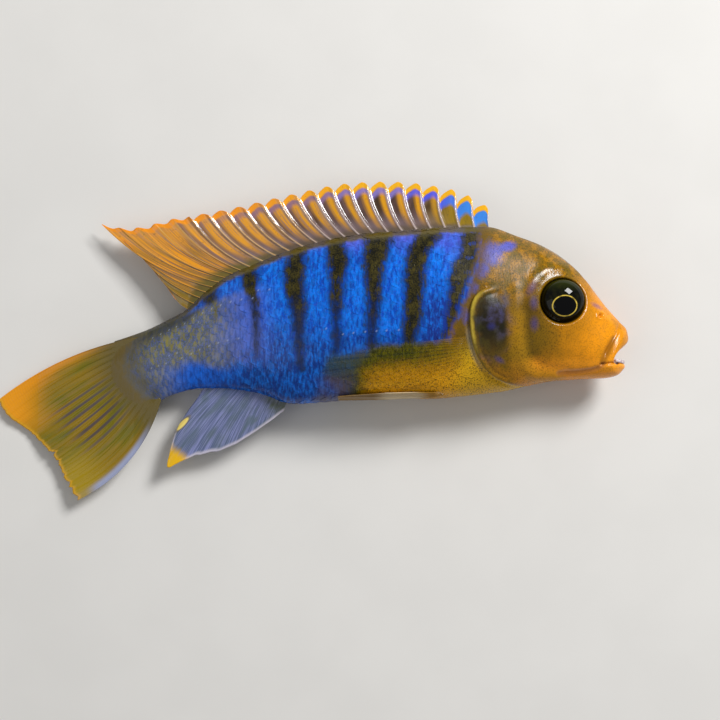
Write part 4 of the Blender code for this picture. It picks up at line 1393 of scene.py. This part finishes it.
def paintPelvic():
    paint = finPaint("pelvicMembrane", 0.28)
    fine = paint.noise((8, 1.2, 1), 3, 0.6, "finMap")
    length = paint.warp("length", fine, 2)
    colour = paint.coats(
        (214, 200, 176),
        ((196, 160, 82), (fine, 0.38, 0.66)),
        ((128, 96, 44), (length, 10.5, 14, 0.95, 0)),
        ((168, 120, 24), (length, 18, 20.5, 0, 0.9)),
    )
    return paint.finish(colour, (fine, 0.3, 0.7, 0.2, 0.34), fine, 0.3, 0.00004)


def addSideFins(form, material):
    for side, word in ((1, "right"), (-1, "left")):
        roots = pathPoints(form["root"], form["rays"])
        tips = pathPoints(form["margin"], form["rays"])
        grid, sheet, rays = softFin(form, roots, tips, np.zeros(form["rays"]))
        t = grid["t"]
        ring, turn = flankAt(grid["flat"][..., 0], grid["flat"][..., 1])
        up = bodyNormal(ring, turn)
        wave = laidFins["wave"] * np.sin(0.8 * grid["across"] + 4.0 * t)
        over = laidFins["over"] + (wave + laidFins["opens"]) * t
        tuck, tuckEnd = laidFins["tucked"]
        middle = bodyPoint(ring, turn) + up * (over - tuck * fade(0.0, tuckEnd, t))[..., None]
        middle[..., 2] *= side
        up[..., 2] *= side
        if side < 0:
            lowest = laidFins["floorRoom"] - midHeight(middle[..., 0])
            pressed = middle[..., 2] <= lowest
            middle[..., 2] = np.maximum(middle[..., 2], lowest)
            up[pressed] = (0.0, 0.0, -1.0)
        name = form["node"].split("_")[0] + "Fin" + word.capitalize()
        fin = addFin(name, grid, middle, up, sheet + rays, material)
        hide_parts(form["node"] + word)


addSideFins(pectoralForm, paintPectoral())
addSideFins(pelvicForm, paintPelvic())
print("paired fins")


# Eyes: one ball each, its iris and gold ring painted by their distance from the pupil
def paintEye():
    paint = Paint("wetEye", Roughness=0.12, Specular_IOR_Level=0.0, Coat_Weight=0.45, Coat_Roughness=0.01)
    streak = paint.noise((1400, 1400, 1400), 3, 0.6)
    colour = paint.coats(
        (3, 4, 2),
        ((36, 42, 4), ("height", 7.6, 10)),
        ((52, 50, 14), (streak, 0.4, 0.7, 0, 0.2)),
        ((58, 54, 12), ("rim", 0.9, 0.99, 0, 0.6)),
        ((214, 186, 76), ("pupil", 0.92, 0.97), ("pupil", 1.01, 1.07, 1, 0), (streak, 0.35, 0.55, 0.35, 1)),
        ((3, 3, 4), ("pupil", 0.88, 0.93, 1, 0)),
    )
    return paint.finish(colour, (streak, 0.3, 0.7, 0.08, 0.16), streak, 0.05, 0.00002)


def addEye(name, side, material):
    ring, turn = flankAt(*eyeForm["at"])
    skinAt = bodyPoint(ring, turn)
    mesh = bpy.data.meshes.new(name)
    bm = bmesh.new()
    around, down = eyeForm["segments"]
    bmesh.ops.create_uvsphere(bm, u_segments=around, v_segments=down, radius=1.0)
    size = (eyeForm["radius"], eyeForm["radius"] * eyeForm["flattened"], eyeForm["halfDepth"])
    centre = placed(np.array([*eyeForm["at"], side * (skinAt[2] - eyeForm["sink"])]))
    turned = Matrix.Rotation(math.radians(eyeForm["turn"] * side), 4, "Y")
    local = np.array([vertex.co[:] for vertex in bm.verts]) * size
    bmesh.ops.transform(bm, matrix=Matrix.Diagonal((*size, 1.0)), verts=bm.verts)
    bmesh.ops.transform(bm, matrix=Matrix.Translation(centre) @ turned, verts=bm.verts)
    bmesh.ops.scale(bm, vec=(mm, mm, mm), verts=bm.verts)
    bm.to_mesh(mesh)
    bm.free()
    eye = shownPiece(name, mesh, material)
    (pupilX, pupilY), (pupilWide, pupilHigh) = eyeForm["goldRing"]
    away = np.hypot((local[:, 0] - pupilX) / pupilWide, (local[:, 1] - pupilY) / pupilHigh)
    giveField(eye, "pupil", np.where(local[:, 2] * side > 0, away, 9.0))
    giveField(eye, "rim", np.hypot(local[:, 0], local[:, 1] / eyeForm["flattened"]) / eyeForm["radius"])
    giveField(eye, "height", local[:, 1] + eyeForm["at"][1])
    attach(eye, "root")
    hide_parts(name.replace("Right", "_right").replace("Left", "_left"))


wetEye = paintEye()
addEye("eyeRight", 1, wetEye)
addEye("eyeLeft", -1, wetEye)
print("eyes")

# Lower teeth: small two-pointed teeth in three rows on a pale gum
toothForm = {
    "count": 26,
    "fewer": 3,  # teeth less in each row further in
    "rows": 3,
    "spread": 0.66,
    "rings": (2.1, 3.0),
    "height": 0.5,
    "width": 0.17,
    # height, breadth and depth of foot, waist and crown, in shares
    "levels": ((-0.1, 0.9, 0.9), (0.45, 1.0, 0.8), (0.8, 1.15, 0.45)),
    "points": ((0.62, 1.0), (-0.62, 0.9)),  # side and height of its two points, in shares
}


def paintTeeth():
    paint = Paint("toothEnamel", Roughness=0.2, Coat_Weight=0.5)
    fleck = paint.noise((1800, 1800, 1800))
    colour = paint.coats((216, 204, 206), ((176, 156, 160), (fleck, 0.35, 0.65)))
    return paint.finish(colour, (fleck, 0.3, 0.7, 0.14, 0.3), fleck, 0.15, 0.00004)


def addTooth(points, faces, foot, across, tall, wide):
    # eight corners at each level, then a point over each half of the crown
    start = len(points)
    deep = np.array([1.0, 0.0, 0.0]) - across * across[0]
    deep /= np.linalg.norm(deep)
    for up, breadth, depth in toothForm["levels"]:
        for a in range(8):
            angle = a * math.pi / 4.0
            offset = across * math.cos(angle) * wide * breadth + deep * math.sin(angle) * wide * depth
            points.append(foot + offset + np.array([0.06 * up, up * tall, 0.0]))
    for a, high in toothForm["points"]:
        points.append(foot + across * a * wide * 1.1 + np.array([0.08, high * tall, 0.0]))
    for low in (start, start + 8):
        for a in range(8):
            b = (a + 1) % 8
            faces.append((low + a, low + b, low + 8 + b, low + 8 + a))
    crown, first, second = start + 16, start + 24, start + 25
    for a in (6, 7, 0, 1, 2, 3, 4, 5):
        faces.append((crown + a, crown + (a + 1) % 8, second if 1 < a < 6 else first))
    faces.append((crown + 2, second, first))
    faces.append((crown + 6, first, second))
    faces.append(tuple(start + a for a in range(7, -1, -1)))


def addTeeth():
    form = toothForm
    points, faces = [], []
    for row in range(form["rows"]):
        share = row / (form["rows"] - 1)
        ring = mix(form["rings"][1], form["rings"][0], share)
        count = form["count"] - form["fewer"] * row
        for k in range(count):
            turn = math.pi + form["spread"] * (2.0 * k / (count - 1) - 1.0)
            foot = bodyPoint(ring, turn) + np.array([0.0, 0.12, 0.0])
            across = bodySlopes(ring, turn)[1]
            tall = form["height"] * (1.0 - 0.25 * share) * rng.uniform(0.85, 1.1)
            wide = form["width"] * (1.0 - 0.3 * share)
            addTooth(points, faces, foot, across / np.linalg.norm(across), tall, wide)
    teeth = makePiece("lowerTeeth", placed(np.array(points)), faces, paintTeeth())
    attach(teeth, "root")
    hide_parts("lower_teeth")


addTeeth()
print("teeth")

# Floor, lamps and camera
studio = {
    "floor": ((226, 224, 220), (223, 221, 217)),
    "floorSize": 1.2,
    "room": 0.27,
    "lens": 120.0,
    "sensor": 36.0,
    # place, size and power of each lamp, and what it is aimed at
    "keyLamp": ((0.32, 0.33, 0.37), 0.19, 3.6, (0.01, 0.0, 0.0)),
    "fillLamp": ((-0.7, -0.3, 0.9), 0.8, 1.6, (0.0, 0.0, 0.0)),
}


def addFloor():
    paint = Paint("paleFloor", Roughness=0.7)
    light, shade = studio["floor"]
    paint.finish(paint.coats(light, (shade, (paint.noise((60, 60, 60), 3), 0.3, 0.7))))
    mesh = bpy.data.meshes.new("floor")
    size = studio["floorSize"]
    corners = [(-size, -size, 0), (size, -size, 0), (size, size, 0), (-size, size, 0)]
    mesh.from_pydata(corners, [], [(0, 1, 2, 3)])
    shownPiece("floor", mesh, paint.material, smooth=False)


def addLamp(name):
    place, size, power, aim = studio[name]
    lamp = bpy.data.lights.new(name, "AREA")
    lamp.shape = "RECTANGLE"
    lamp.size, lamp.size_y = size, size
    lamp.energy = power
    holder = bpy.data.objects.new(name, lamp)
    holder.location = place
    holder.rotation_euler = (Vector(aim) - Vector(place)).to_track_quat("-Z", "Y").to_euler()
    bpy.context.scene.collection.objects.link(holder)


def addCamera():
    camera = bpy.data.cameras.new("camera")
    camera.lens = studio["lens"]
    camera.sensor_width = studio["sensor"]
    camera.clip_start = 0.01
    holder = bpy.data.objects.new("camera", camera)
    viewX, viewY = np.subtract(fishForm["viewAt"], fishForm["centre"])
    holder.location = (viewX * mm, viewY * mm, (fishForm["restLift"] + fishForm["viewHeight"]) * mm)
    bpy.context.scene.collection.objects.link(holder)
    bpy.context.scene.camera = holder


def addStudio():
    addFloor()
    world = bpy.data.worlds.new("room")
    world.use_nodes = True
    background = world.node_tree.nodes["Background"]
    background.inputs["Color"].default_value = (1.0, 1.0, 1.0, 1.0)
    background.inputs["Strength"].default_value = studio["room"]
    bpy.context.scene.world = world
    addLamp("keyLamp")
    addLamp("fillLamp")
    addCamera()
    bpy.context.scene.view_settings.view_transform = "Standard"


addStudio()
print("studio ready")
